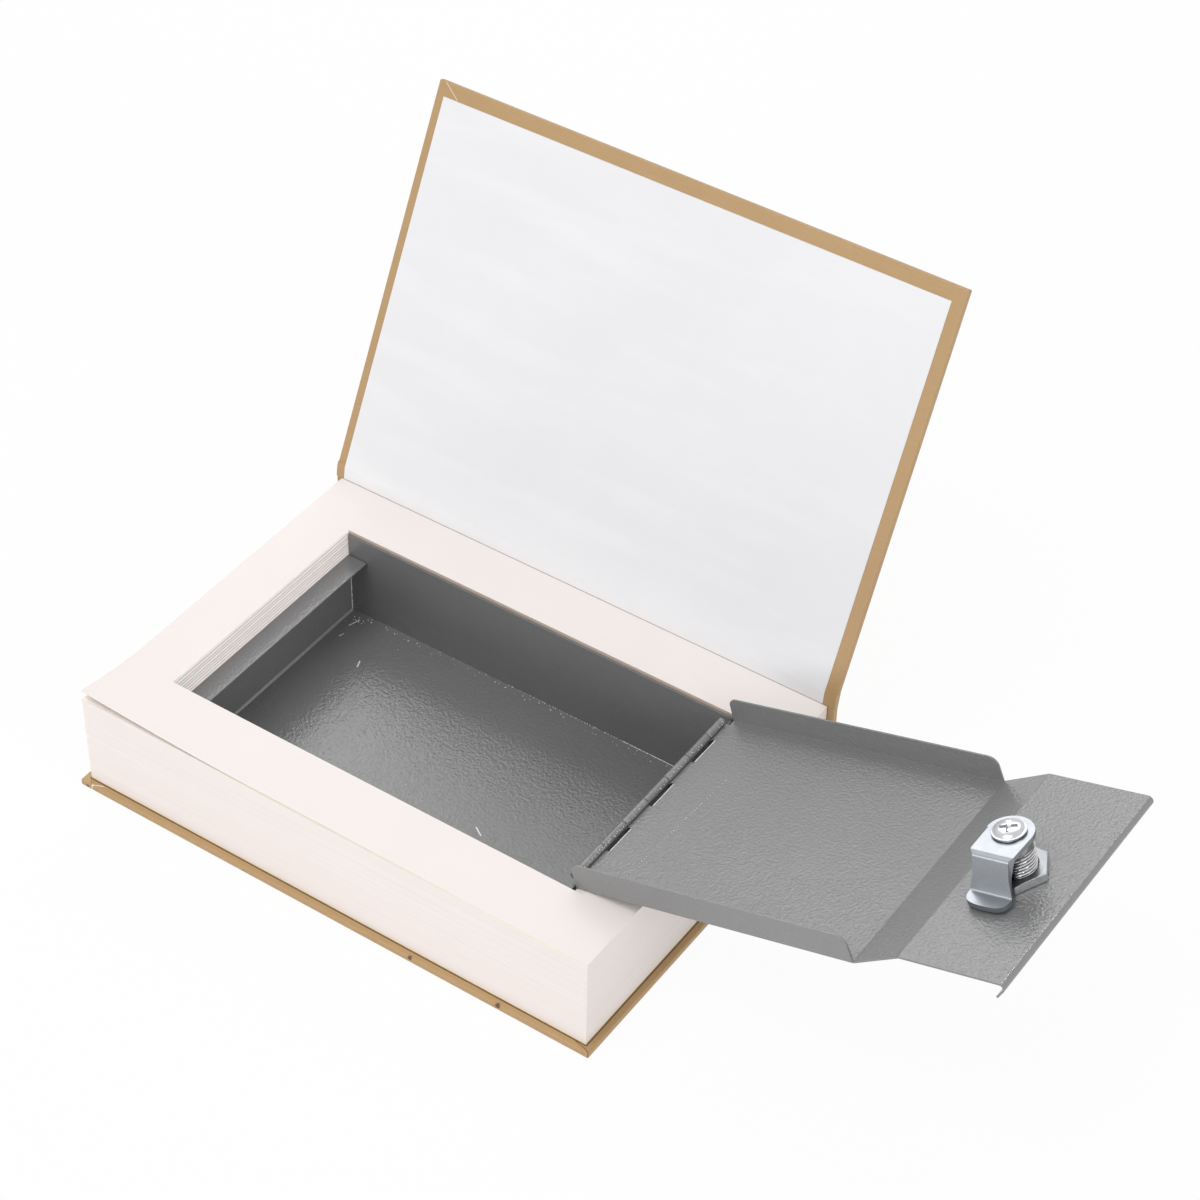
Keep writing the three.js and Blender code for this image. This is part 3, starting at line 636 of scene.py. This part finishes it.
pg_tone = pages.mix(latch_wall, pg_tone, (0.97, 0.925, 0.90))
pg_lines = (leaf_fine.step(0.3, 0.7) * 0.2 + leaf_group.step(0.35, 0.7) * 0.3) * pg_side
pg_tone = pages.mix(pg_lines * (1 - latch_wall * 0.8), pg_tone, (0.80, 0.715, 0.68))
section_wander = (pages.noise(pages.place((0.03, 0.03, 0.03)), 1.0, 2.0) - 0.5) * 0.5
# Each gap between sections is a real groove, darkened further with painted shade.
for section_z in section_gaps:
    gap_shade = (pg_z + section_wander - section_z - 0.2).size().step(0.14, 0.34, 1.0, 0.0)
    pg_tone = pages.mix(gap_shade * latch_wall * 0.95, pg_tone, (0.38, 0.26, 0.19))
spine_wall = pg_y.step(57.2, 57.4) * pg_y.step(57.7, 57.9, 1.0, 0.0)
spine_wall = spine_wall * pg_ny.step(-0.6, -0.4, 1.0, 0.0)
pg_tone = pages.mix(spine_wall * (0.45 + leaf_fine * 0.5), pg_tone, (0.52, 0.38, 0.29))
glued_foot = pg_z.step(3.75, 4.0, 1.0, 0.0) * pg_side
pg_tone = pages.mix(glued_foot * 0.8, pg_tone, (0.95, 0.85, 0.62))
# A warm painted shadow line on the block's front, just beneath the top leaf's edge.
leaf_shadow_line = pg_z.step(45.6, 46.3) * pg_side * pg_y.step(-82.2, -82.0, 1.0, 0.0)
pg_tone = pages.mix(leaf_shadow_line * 0.7, pg_tone, (0.93, 0.80, 0.58))
pages.colour(pg_tone)
# The latch wall glows in its own colour, as painted light.
painted_glow = pages.mix(latch_wall, (0.0, 0.0, 0.0), pg_tone)
pages.feed(pages.shader.inputs["Emission Color"], painted_glow)
pg_edges = (leaf_fine * 0.4 + leaf_group * 0.6) * pg_side
pages.bump(pg_edges + pages.noise(pg_place, 1.5, 2.0) * 0.04, 0.35, 0.12)
dress(("page_block", "back_endpaper"), pages.material)

# Top leaf: a loose sheet with the window cut out, its fore-edge corner at the latch end curled
# up off the block.
leaf_bottom = 46.42
leaf_sheet = 0.24
leaf_lift = 4.3
curl_length = 92.0
curl_depth = 34.0
swell_height = 0.35
swell_depth = 8.0
swell_half = 90.0
window_x0 = -97.0
window_x1 = 98.9
window_y0 = -54.9
window_y1 = 57.5


def leaf_height(x, y):
    """How far the leaf stands off the block: its curled corner and a swell at the fore-edge."""
    away_x = min(1.0, (x + page_half_length) / curl_length)
    away_y = min(1.0, (y + page_half_depth) / curl_depth)
    curl = leaf_lift * (1 - away_x) ** 1.7 * (1 - away_y) ** 1.5
    near_edge = max(0.0, 1 - (y + page_half_depth) / swell_depth)
    return curl + swell_height * near_edge * max(0.0, 1 - abs(x + 20) / swell_half)


def stops(*marks):
    """Grid places from (start, end, count) runs, joined end to end."""
    places = []
    for start, end, count in marks:
        places += [start + (end - start) * k / count for k in range(count)]
    return places + [marks[-1][1]]


leaf_xs = stops(
    (-page_half_length, window_x0, 10), (window_x0, -20, 20), (-20, window_x1, 10),
    (window_x1, page_half_length, 3),
)
leaf_ys = stops(
    (-page_half_depth, window_y0, 14), (window_y0, -40, 5), (-40, window_y1, 8),
    (window_y1, page_half_depth, 4),
)
bm = bmesh.new()
leaf_top = {}
for i, x in enumerate(leaf_xs):
    for j, y in enumerate(leaf_ys):
        z = leaf_bottom + leaf_sheet + leaf_height(x, y)
        leaf_top[i, j] = bm.verts.new((x / 1000, y / 1000, z / 1000))
for i in range(len(leaf_xs) - 1):
    for j in range(len(leaf_ys) - 1):
        middle_x = (leaf_xs[i] + leaf_xs[i + 1]) / 2
        middle_y = (leaf_ys[j] + leaf_ys[j + 1]) / 2
        if window_x0 < middle_x < window_x1 and window_y0 < middle_y < window_y1:
            continue
        bm.faces.new((
            leaf_top[i, j], leaf_top[i + 1, j], leaf_top[i + 1, j + 1], leaf_top[i, j + 1]
        ))
bmesh.ops.delete(bm, geom=[v for v in bm.verts if not v.link_faces], context="VERTS")
leaf_mesh = bpy.data.meshes.new("loose_top_leaf")
bm.to_mesh(leaf_mesh)
bm.free()
holder = bpy.data.objects.new("leaf_raw", leaf_mesh)
bpy.context.scene.collection.objects.link(holder)
thick = holder.modifiers.new("thickness", "SOLIDIFY")
thick.thickness = leaf_sheet / 1000
thick.offset = -1
leaf_mesh = bpy.data.meshes.new_from_object(
    holder.evaluated_get(bpy.context.evaluated_depsgraph_get())
)
leaf_mesh.name = "loose_top_leaf"
bpy.data.objects.remove(holder)
leaf = finished(
    "loose_top_leaf", leaf_mesh, pages.material, "case", ["top_leaf"], smooth=30
)
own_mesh(leaf)


# Steel tray: 0.8 mm sheet folded up into a box with open corner seams, a flange over the latch
# end and rolled knuckles at the hinge end, all powder-coated grey.
def powder_coat(name, tone_low, tone_high, strokes=(), peel_depth=0.28):
    coat = Finish(name, Roughness=0.16, Specular_IOR_Level=0.8)
    place = coat.place()
    broad = coat.noise(place, 0.02, 3.0)
    peel = coat.noise(place, 0.85, 2.0, 0.45)
    fine = coat.noise(place, 2.4, 2.0, 0.6)
    tone = coat.mix(broad, tone_low, tone_high)
    tone = coat.mix(fine.step(0.5, 0.8) * 0.2, tone, tuple(value * 1.6 for value in tone_high))
    speck = coat.noise(coat.place(shift=(31, 7, 3)), 0.9, 1.0).step(0.79, 0.83)
    tone = coat.mix(speck * 0.5, tone, (0.5, 0.5, 0.5))
    x, y, z = coat.axes(place)
    low = z.step(6.0, 8.0, 1.0, 0.0)
    for (x0, y0), (x1, y1), half_width in strokes:
        length = math.hypot(x1 - x0, y1 - y0)
        along = ((x - x0) * (x1 - x0) + (y - y0) * (y1 - y0)) / length
        across = ((x - x0) * (y1 - y0) - (y - y0) * (x1 - x0)) / length
        bowed = (across + (fine - 0.5) * 0.6).size().step(half_width * 0.7, half_width, 1.0, 0.0)
        inside = along.step(-0.1, 0.1) * along.step(length - 0.1, length + 0.1, 1.0, 0.0)
        tone = coat.mix(bowed * inside * low, tone, (0.85, 0.85, 0.84))
    coat.colour(tone)
    coat.feed(coat.shader.inputs["Roughness"], 0.12 + broad * 0.06 + fine * 0.05)
    coat.bump(peel * 0.9 + fine * 0.1, 0.9, peel_depth)
    return coat.material


def rounded_node(node, edge_mm, segments=2, angle=30):
    """A CAD node's shape with its loose faces joined and its edges rounded."""
    bm = bmesh.new()
    bm.from_mesh(nodes[node].data)
    return softened(node + "_rounded", bm, edge_mm, segments, angle)


steel_corner = 0.22
scuffs = [
    ((-72.4, 28.9), (-73.7, 32.5), 0.3), ((-90.8, 47.1), (-89.3, 52.7), 0.28),
    ((-90.2, 39.5), (-89.4, 42.0), 0.25), ((22.0, -16.9), (26.5, -19.7), 0.28),
]
grey_coat = powder_coat(
    "grey_powder_coat", (0.170, 0.171, 0.173), (0.192, 0.193, 0.195), scuffs
)
finished(
    "steel_tray", rounded_node("tray", steel_corner), grey_coat, "case", ["tray"]
)

# Tray seams: white grains where the walls meet the floor and each other, thin at the latch end
# and almost unbroken near the hinge. Along the crest of the hinge's knuckles that faces up and
# out, white specks stand partly for chips in the coat and partly for painted highlight.
specks_and_glints = Finish("white_specks_and_glints", Base_Color=(0.92, 0.92, 0.90), Roughness=0.45)
speck_mottle = specks_and_glints.noise(specks_and_glints.place(), 2.5, 2.0)
specks_and_glints.colour(specks_and_glints.mix(speck_mottle, (0.84, 0.84, 0.83), (0.97, 0.97, 0.95)))

smallest_grain = 0.25
seam_tree = bpy.data.node_groups.new("seam_grains", "GeometryNodeTree")
seam_ports = {
    "Start": "NodeSocketVector", "End": "NodeSocketVector", "Count": "NodeSocketInt",
    "Grain": "NodeSocketFloat", "Spread": "NodeSocketVector", "Seed": "NodeSocketInt",
    "Speck_material": "NodeSocketMaterial",
}
for title, kind in seam_ports.items():
    seam_tree.interface.new_socket(title, in_out="INPUT", socket_type=kind)
seam_tree.interface.new_socket("Grains", in_out="OUTPUT", socket_type="NodeSocketGeometry")
seam = Wiring(seam_tree)
given = seam.nodes.new("NodeGroupInput")
port = {key: Socket(seam, given.outputs[key]) for key in seam_ports}
line = seam.node("GeometryNodeMeshLine", {"mode": "END_POINTS"})
line_node = line.out.node
seam.feed(line_node.inputs["Count"], port["Count"])
seam.feed(line_node.inputs["Start Location"], port["Start"])
seam.feed(line_node.inputs["Offset"], port["End"])
jitter = seam.nodes.new("FunctionNodeRandomValue")
jitter.data_type = "FLOAT_VECTOR"
seam.feed(jitter.inputs["Max"], port["Spread"])
seam.feed(jitter.inputs["Min"], seam.node(
    "ShaderNodeVectorMath", {"operation": "SCALE"}, port["Spread"], Scale=-1.0
))
seam.feed(jitter.inputs["Seed"], port["Seed"])
moved = seam.node("GeometryNodeSetPosition", None, line, Offset=Socket(seam, jitter.outputs[0]))
grain = seam.node("GeometryNodeMeshIcoSphere", None, port["Grain"], 1)
sizes = seam.nodes.new("FunctionNodeRandomValue")
sizes.data_type = "FLOAT"
sizes.inputs[2].default_value = smallest_grain
sizes.inputs[3].default_value = 1.0
seam.feed(sizes.inputs["Seed"], port["Seed"] + 7)
placed = seam.node("GeometryNodeInstanceOnPoints", None, moved)
seam.feed(placed.out.node.inputs["Instance"], grain)
seam.feed(placed.out.node.inputs["Scale"], Socket(seam, sizes.outputs[1]))
realized = seam.node("GeometryNodeRealizeInstances", None, placed)
coated = seam.node("GeometryNodeSetMaterial", None, realized)
seam.feed(coated.out.node.inputs["Material"], port["Speck_material"])
seam.feed(seam.nodes.new("NodeGroupOutput").inputs[0], coated)

latch_face = -95.9
back_face = 56.4
tray_floor = 4.2
seam_runs = [
    ((latch_face, 56.2, 4.6), (latch_face, 56.2, 33.2), 170, 0.26, (0.06, 0.06, 0.2)),
    ((42, back_face, tray_floor), (88, back_face, tray_floor), 300, 0.28, (0.1, 0.1, 0.05)),
    ((-15, back_face, tray_floor), (60, back_face, tray_floor), 90, 0.3, (0.8, 0.15, 0.02)),
    ((-85, 54.6, tray_floor), (88, 54.6, tray_floor), 56, 0.3, (3.0, 1.7, 0.0)),
    ((-92, 50, tray_floor), (-84, 55, tray_floor), 18, 0.28, (2.5, 2.0, 0.0)),
]
knuckle_x = 90.9
knuckle_z = 46.42
knuckle_skin = 1.64
for lean in (0.5, 0.75, 1.0):
    crest_x = knuckle_x + knuckle_skin * math.sin(lean)
    crest_z = knuckle_z + knuckle_skin * math.cos(lean)
    for front, back, count in ((-47.5, -17.5, 26), (-16.0, 50.0, 24)):
        seam_runs.append(
            ((crest_x, front, crest_z), (crest_x, back, crest_z), count, 0.25, (0.12, 1.2, 0.12))
        )


def grain_runs(name, runs, body, setting=Matrix()):
    """One mesh of grains along runs. A run has its start, end, count, grain size and spread."""
    bm = bmesh.new()
    for number, (start, end, count, size, spread) in enumerate(runs):
        blank = bpy.data.meshes.new("seam_blank")
        holder = bpy.data.objects.new("seam_blank", blank)
        bpy.context.scene.collection.objects.link(holder)
        grains = holder.modifiers.new("grains", "NODES")
        grains.node_group = seam_tree
        chosen = {
            "Start": setting @ (Vector(start) / 1000), "End": setting @ (Vector(end) / 1000),
            "Count": count, "Grain": size / 1000, "Spread": Vector(spread) / 1000,
            "Seed": number, "Speck_material": specks_and_glints.material,
        }
        for item in seam_tree.interface.items_tree:
            if item.in_out == "INPUT":
                grains[item.identifier] = chosen[item.name]
        run_mesh = bpy.data.meshes.new_from_object(
            holder.evaluated_get(bpy.context.evaluated_depsgraph_get())
        )
        bm.from_mesh(run_mesh)
        holder.modifiers.remove(grains)
        bpy.data.objects.remove(holder)
    seam_mesh = bpy.data.meshes.new(name)
    bm.to_mesh(seam_mesh)
    bm.free()
    return finished(name, seam_mesh, specks_and_glints.material, body, smooth=60)


grain_runs("tray_seam_grains", seam_runs, "case")

# Seam fillet: a rounded strip where the latch wall meets the floor, its coat painted paler than
# the tray's as a painted highlight, in a soft pale line.
fillet_coat_highlight = powder_coat("grey_powder_coat_fillet_highlight", (0.24, 0.242, 0.245), (0.30, 0.302, 0.305))
fillet_radius = 1.9
fillet_steps = 6
fillet_sink = 0.2
fillet_front = -54.5
fillet_back = 56.0
fillet_profile = [(0.0, 0.0)]
for k in range(fillet_steps + 1):
    turn = math.pi / 2 * k / fillet_steps
    fillet_profile.append(
        (fillet_radius * (1 - math.sin(turn)), fillet_radius * (1 - math.cos(turn)))
    )
bm = bmesh.new()
fillet_ends = [
    [
        bm.verts.new((
            (latch_face - fillet_sink + u) / 1000, y / 1000, (tray_floor - fillet_sink + v) / 1000
        ))
        for u, v in fillet_profile
    ]
    for y in (fillet_front, fillet_back)
]
corners = len(fillet_profile)
for k in range(corners):
    n = (k + 1) % corners
    bm.faces.new((fillet_ends[0][k], fillet_ends[0][n], fillet_ends[1][n], fillet_ends[1][k]))
bm.faces.new(fillet_ends[0])
bm.faces.new(fillet_ends[1])
bmesh.ops.recalc_face_normals(bm, faces=bm.faces)
fillet_mesh = bpy.data.meshes.new("seam_fillet")
bm.to_mesh(fillet_mesh)
bm.free()
finished("seam_fillet", fillet_mesh, fillet_coat_highlight, "case", smooth=40)

# Hinge pin: a plain bright steel wire, cut to length and pushed through all the knuckles.
# It stays with the tray while the lid's knuckles turn round it.
pin_steel = Finish("bright_pin", Metallic=1.0, Base_Color=(0.45, 0.45, 0.46), Roughness=0.35)
pin_marks = pin_steel.noise(pin_steel.place((0.3, 3, 3)), 1.0, 2.0)
pin_steel.feed(pin_steel.shader.inputs["Roughness"], 0.28 + pin_marks * 0.2)
dress(["hinge_pin"], pin_steel.material)

# Lid: the same coated sheet, bent up along both sides, stepped down to the end plate and
# turned over at its end. Its coat is painted a little lighter than the tray's, as painted light.
lid_coat_painted_lighter = powder_coat(
    "grey_powder_coat_lid_painted_lighter", (0.204, 0.205, 0.207), (0.229, 0.230, 0.232), peel_depth=0.4
)
finished("steel_lid", rounded_node("lid", steel_corner), lid_coat_painted_lighter, "lid", ["lid"])

# Lid grains: rows of white specks on the slots' cut edges, across the lid near its hinge, along
# the bend at its end and along the back flange's bend. On the cut edges and the bends they are
# painted highlight. Places are measured from the hinge pin.
lid_tilt = math.radians(16.4)
lid_place = Matrix.Translation((knuckle_x / 1000, 0, knuckle_z / 1000)) @ Matrix.Rotation(
    -lid_tilt, 4, "Y"
)
slot_fronts = (-30.6, -1.8, 27)
slot_length = 14
lid_runs = [
    *(
        ((3.5, y, -0.92), (3.5, y + slot_length, -0.92), 180, 0.26, (0.04, 0.05, 0.02))
        for y in slot_fronts
    ),
    ((18.4, -42.0, -0.9), (22.0, 22.0, -0.9), 44, 0.17, (0.15, 0.6, 0.02)),
    ((185.5, -52.2, 7.2), (185.5, -10.0, 7.2), 48, 0.24, (0.12, 0.3, 0.05)),
    ((185.5, -10.0, 7.2), (185.5, 48.0, 7.2), 16, 0.2, (0.15, 1.6, 0.05)),
    ((84.0, 51.2, -0.85), (121.0, 51.2, -0.85), 22, 0.16, (0.8, 0.25, 0.02)),
]
grain_runs("lid_grains", lid_runs, "lid", lid_place)

# Cam lock: a bright zinc barrel with two flats, put through the end plate from outside and
# threaded for its nut. Four grooves inside it take the wafers. Its thread roots are painted
# dark and its steep faces darker than its top, as painted shade.
lock_u = 161.5
lock_y = 1.3
end_plate_w = 7.256
lock_place = lid_place @ Matrix.Translation(
    (lock_u / 1000, lock_y / 1000, end_plate_w / 1000)
)


def bright_zinc(name, tone, rough, shade_attribute=None, sides=None):
    zinc = Finish(name, Metallic=1.0, Base_Color=tone)
    place = zinc.place()
    cloud = zinc.noise(place, 0.25, 3.0, 0.6)
    grain = zinc.noise(place, 3.0, 3.0, 0.7)
    shade = zinc.mix(cloud.step(0.35, 0.7) * 0.5, tone, tuple(v * 0.85 for v in tone))
    # Steep faces take a side colour, darker than the top unless sides gives another, as painted
    # shade and painted reflection, varied in streaks.
    turned_up = zinc.axes(zinc.node("ShaderNodeTexCoord", out="Normal"))[2]
    steep = turned_up.step(0.25, 0.8, 1.0, 0.0)
    brushed = zinc.noise(zinc.place((3.0, 3.0, 0.15)), 1.0, 2.0)
    side_tone = sides or tuple(v * 0.3 for v in tone)
    shade = zinc.mix(steep * (0.2 + brushed * 0.5), shade, side_tone)
    if shade_attribute:
        # The attribute marks the thread roots, which are painted near-black as painted shade.
        deep = zinc.node("ShaderNodeAttribute", {"attribute_name": shade_attribute}, out="Fac")
        shade = zinc.mix((deep * 2.4).least(0.95), shade, (0.05, 0.05, 0.055))
    zinc.colour(shade)
    zinc.feed(zinc.shader.inputs["Roughness"], rough + cloud * 0.08 + grain * 0.05)
    zinc.bump(grain, 0.25, 0.02)
    return zinc.material


barrel_radius = 8.0
barrel_flat = 7.0
barrel_top = 15.9
thread_pitch = 1.25
thread_depth = 0.6
thread_top = 11.7
collar_radius = 7.6
bore_radius = 5.7
head_radius = 9.6
head_top = -1.1
head_face = -3.0


def thread_radius(angle, z):
    """Radius of the barrel's screw thread, with its two flats, at an angle and a height."""
    phase = (z / thread_pitch - angle / (2 * math.pi)) % 1.0
    crest = abs(2 * phase - 1)
    radius = barrel_radius - thread_depth * min(1.0, max(0.0, 1.35 * crest - 0.1))
    if z > thread_top:
        radius = min(radius, collar_radius) if z < thread_top + 0.3 else collar_radius
    if z > barrel_top - 0.4:
        radius -= z - barrel_top + 0.4
    across = abs(math.sin(angle))
    return min(radius, barrel_flat / across) if across * radius > barrel_flat else radius


turns = 96
thread_rows = 130
slot_half = 2.9
slot_radius = 6.4
slot_end = 10.7
mouth_chamfer = 0.35
bm = bmesh.new()


def lock_ring(radius_at, z):
    """A ring of the barrel at a height, of one radius or of a radius that varies with angle."""
    ring = []
    for k in range(turns):
        angle = 2 * math.pi * k / turns
        radius = radius_at(angle) if callable(radius_at) else radius_at
        ring.append(bm.verts.new((
            radius * math.cos(angle) / 1000, radius * math.sin(angle) / 1000, z / 1000
        )))
    return ring


def wafer_slot(angle):
    """Radius of the bore where its four grooves let the wafers slide out of the plug."""
    across = abs(math.cos(angle)) + 1e-9
    along = abs(math.sin(angle)) + 1e-9
    slots = (
        min(slot_half / across, slot_radius / along), min(slot_half / along, slot_radius / across)
    )
    return max(bore_radius, *slots)


bore_rings = (
    (bore_radius, head_face), (bore_radius, head_top), (wafer_slot, head_top),
    (wafer_slot, slot_end), (bore_radius, slot_end), (bore_radius, barrel_top - mouth_chamfer),
    (bore_radius + mouth_chamfer, barrel_top),
)
head_rings = (
    (head_radius - 0.2, head_top), (head_radius, head_top - 0.2), (head_radius, head_face + 0.6),
    (head_radius - 0.25, head_face + 0.2), (head_radius - 0.7, head_face),
    (bore_radius + 0.25, head_face),
)
profile_rings = [lock_ring(radius, z) for radius, z in bore_rings]
for k in range(thread_rows + 1):
    z = barrel_top - (barrel_top - head_top) * k / thread_rows
    profile_rings.append(lock_ring(lambda a, z=z: thread_radius(a, z), z))
profile_rings += [lock_ring(radius, z) for radius, z in head_rings]
for k in range(len(profile_rings)):
    here = profile_rings[k]
    there = profile_rings[(k + 1) % len(profile_rings)]
    for i in range(turns):
        j = (i + 1) % turns
        bm.faces.new((here[i], there[i], there[j], here[j]))
bmesh.ops.remove_doubles(bm, verts=bm.verts, dist=1e-7)
bmesh.ops.recalc_face_normals(bm, faces=bm.faces)
barrel_mesh = bpy.data.meshes.new("lock_barrel")
bm.to_mesh(barrel_mesh)
bm.free()
root = barrel_mesh.attributes.new("thread_root", "FLOAT", "POINT")
for vert in barrel_mesh.vertices:
    reach = math.hypot(vert.co.x, vert.co.y) * 1000
    threaded = head_top < vert.co.z * 1000 < thread_top and reach > bore_radius + 0.5
    root.data[vert.index].value = max(0.0, barrel_radius - 0.12 - reach) if threaded else 0.0
barrel_mesh.transform(lock_place)
lock_zinc = bright_zinc("bright_zinc_barrel", (0.66, 0.66, 0.67), 0.1, "thread_root")
finished(
    "lock_barrel", barrel_mesh, lock_zinc, "lid", ["lock_housing"], smooth=45
)

# Lock nut: a hexagonal zinc-plated nut with its corners turned off, run down on the barrel
# against the end plate. Its top is painted dark and its sides bright, as painted shade and
# painted reflection.
finished(
    "lock_nut_rounded", rounded_node("lock_nut", 0.25, 2, 20),
    bright_zinc("bright_zinc_nut", (0.31, 0.32, 0.34), 0.24, sides=(1.0, 1.0, 1.0)),
    "lid", ["lock_nut"],
)

# Lock plug and wafers: brass, turning in the barrel, with the key slot at the outer face. The
# five wafers are stamped plates that slide across the plug.
key_brass = Finish("plug_brass", Metallic=1.0, Base_Color=(0.56, 0.44, 0.24), Roughness=0.3)
brass_marks = key_brass.noise(key_brass.place(), 1.1, 3.0, 0.7)
key_brass.colour(key_brass.mix(brass_marks, (0.48, 0.37, 0.19), (0.62, 0.50, 0.28)))
key_brass.feed(key_brass.shader.inputs["Roughness"], 0.24 + brass_marks * 0.2)
dress(
    ("lock_plug", "wafer_1", "wafer_2", "wafer_3", "wafer_4", "wafer_5"), key_brass.material
)

# Cam: pressed from 2 mm zinc-plated strip, flat where it sits on the plug and cranked down to
# its foot. It is painted a darker zinc than the barrel, and its steep faces darker still, as
# painted shade.
finished(
    "lock_cam_pressed", rounded_node("lock_cam", 0.32, 3, 25),
    bright_zinc("bright_zinc_cam", (0.40, 0.42, 0.45), 0.27, sides=(0.21, 0.22, 0.235)),
    "lock_core", ["lock_cam"],
)

# Cam screw: a washer-head machine screw, zinc-plated, with a cross recess punched in its head.
# It holds the cam on the plug's squared end. Its steep faces are painted darker than its top,
# as painted shade.
screw_zinc = bright_zinc("bright_zinc_screw", (0.61, 0.62, 0.64), 0.14)
screw_seat = 18.4
screw_sides = 64
recess_turn = math.radians(28)
recess_half_length = 4.4
recess_half_width = 1.1
recess_floor = 0.5
recess_top = 3
screw_points = [
    (0.0, -6.5), (1.7, -6.5), (2.0, -6.1), (2.0, 0.0), (6.3, 0.0), (6.4, 0.12), (6.4, 0.75),
    (6.25, 0.92), (5.6, 0.98), (5.4, 1.12), (5.0, 1.55), (4.2, 1.95), (3.0, 2.2), (0.0, 2.3),
]
bm = bmesh.new()
screw_rings = []
for radius, z in screw_points:
    if radius == 0.0:
        screw_rings.append([bm.verts.new((0, 0, (screw_seat + z) / 1000))])
        continue
    screw_rings.append([
        bm.verts.new((
            radius * math.cos(2 * math.pi * k / screw_sides) / 1000,
            radius * math.sin(2 * math.pi * k / screw_sides) / 1000,
            (screw_seat + z) / 1000,
        ))
        for k in range(screw_sides)
    ])
for here, there in zip(screw_rings, screw_rings[1:]):
    for k in range(screw_sides):
        n = (k + 1) % screw_sides
        if len(here) == 1:
            bm.faces.new((here[0], there[n], there[k]))
        elif len(there) == 1:
            bm.faces.new((here[k], here[n], there[0]))
        else:
            bm.faces.new((here[k], here[n], there[n], there[k]))
bmesh.ops.recalc_face_normals(bm, faces=bm.faces)
screw_mesh = bpy.data.meshes.new("screw_raw")
bm.to_mesh(screw_mesh)
bm.free()
screw_body = bpy.data.objects.new("screw_raw", screw_mesh)
bpy.context.scene.collection.objects.link(screw_body)
bm = bmesh.new()
for turned in (False, True):
    made = block(
        bm, (-recess_half_length, -recess_half_width, 0),
        (recess_half_length, recess_half_width, recess_top),
    )
    for vert in made:
        deep = vert.co.z < 0.001
        vert.co.z = (screw_seat + (recess_floor if deep else recess_top)) / 1000
        if deep:
            vert.co.x *= 0.3
            vert.co.y *= 0.35
        if turned:
            vert.co.x, vert.co.y = -vert.co.y, vert.co.x
bmesh.ops.rotate(
    bm, cent=(0, 0, 0), matrix=Matrix.Rotation(recess_turn, 3, "Z"), verts=bm.verts
)
cross_mesh = bpy.data.meshes.new("cross_raw")
bm.to_mesh(cross_mesh)
bm.free()
cross_body = bpy.data.objects.new("cross_raw", cross_mesh)
bpy.context.scene.collection.objects.link(cross_body)
recess = screw_body.modifiers.new("recess", "BOOLEAN")
recess.operation = "DIFFERENCE"
recess.solver = "EXACT"
recess.use_self = True
recess.object = cross_body
screw_cut = bpy.data.meshes.new_from_object(
    screw_body.evaluated_get(bpy.context.evaluated_depsgraph_get())
)
screw_cut.name = "cam_screw_head"
bpy.data.objects.remove(screw_body)
bpy.data.objects.remove(cross_body)
screw_cut.transform(lock_place)
finished(
    "cam_screw_head", screw_cut, screw_zinc, "lock_core", ["cam_screw"], smooth=40
)
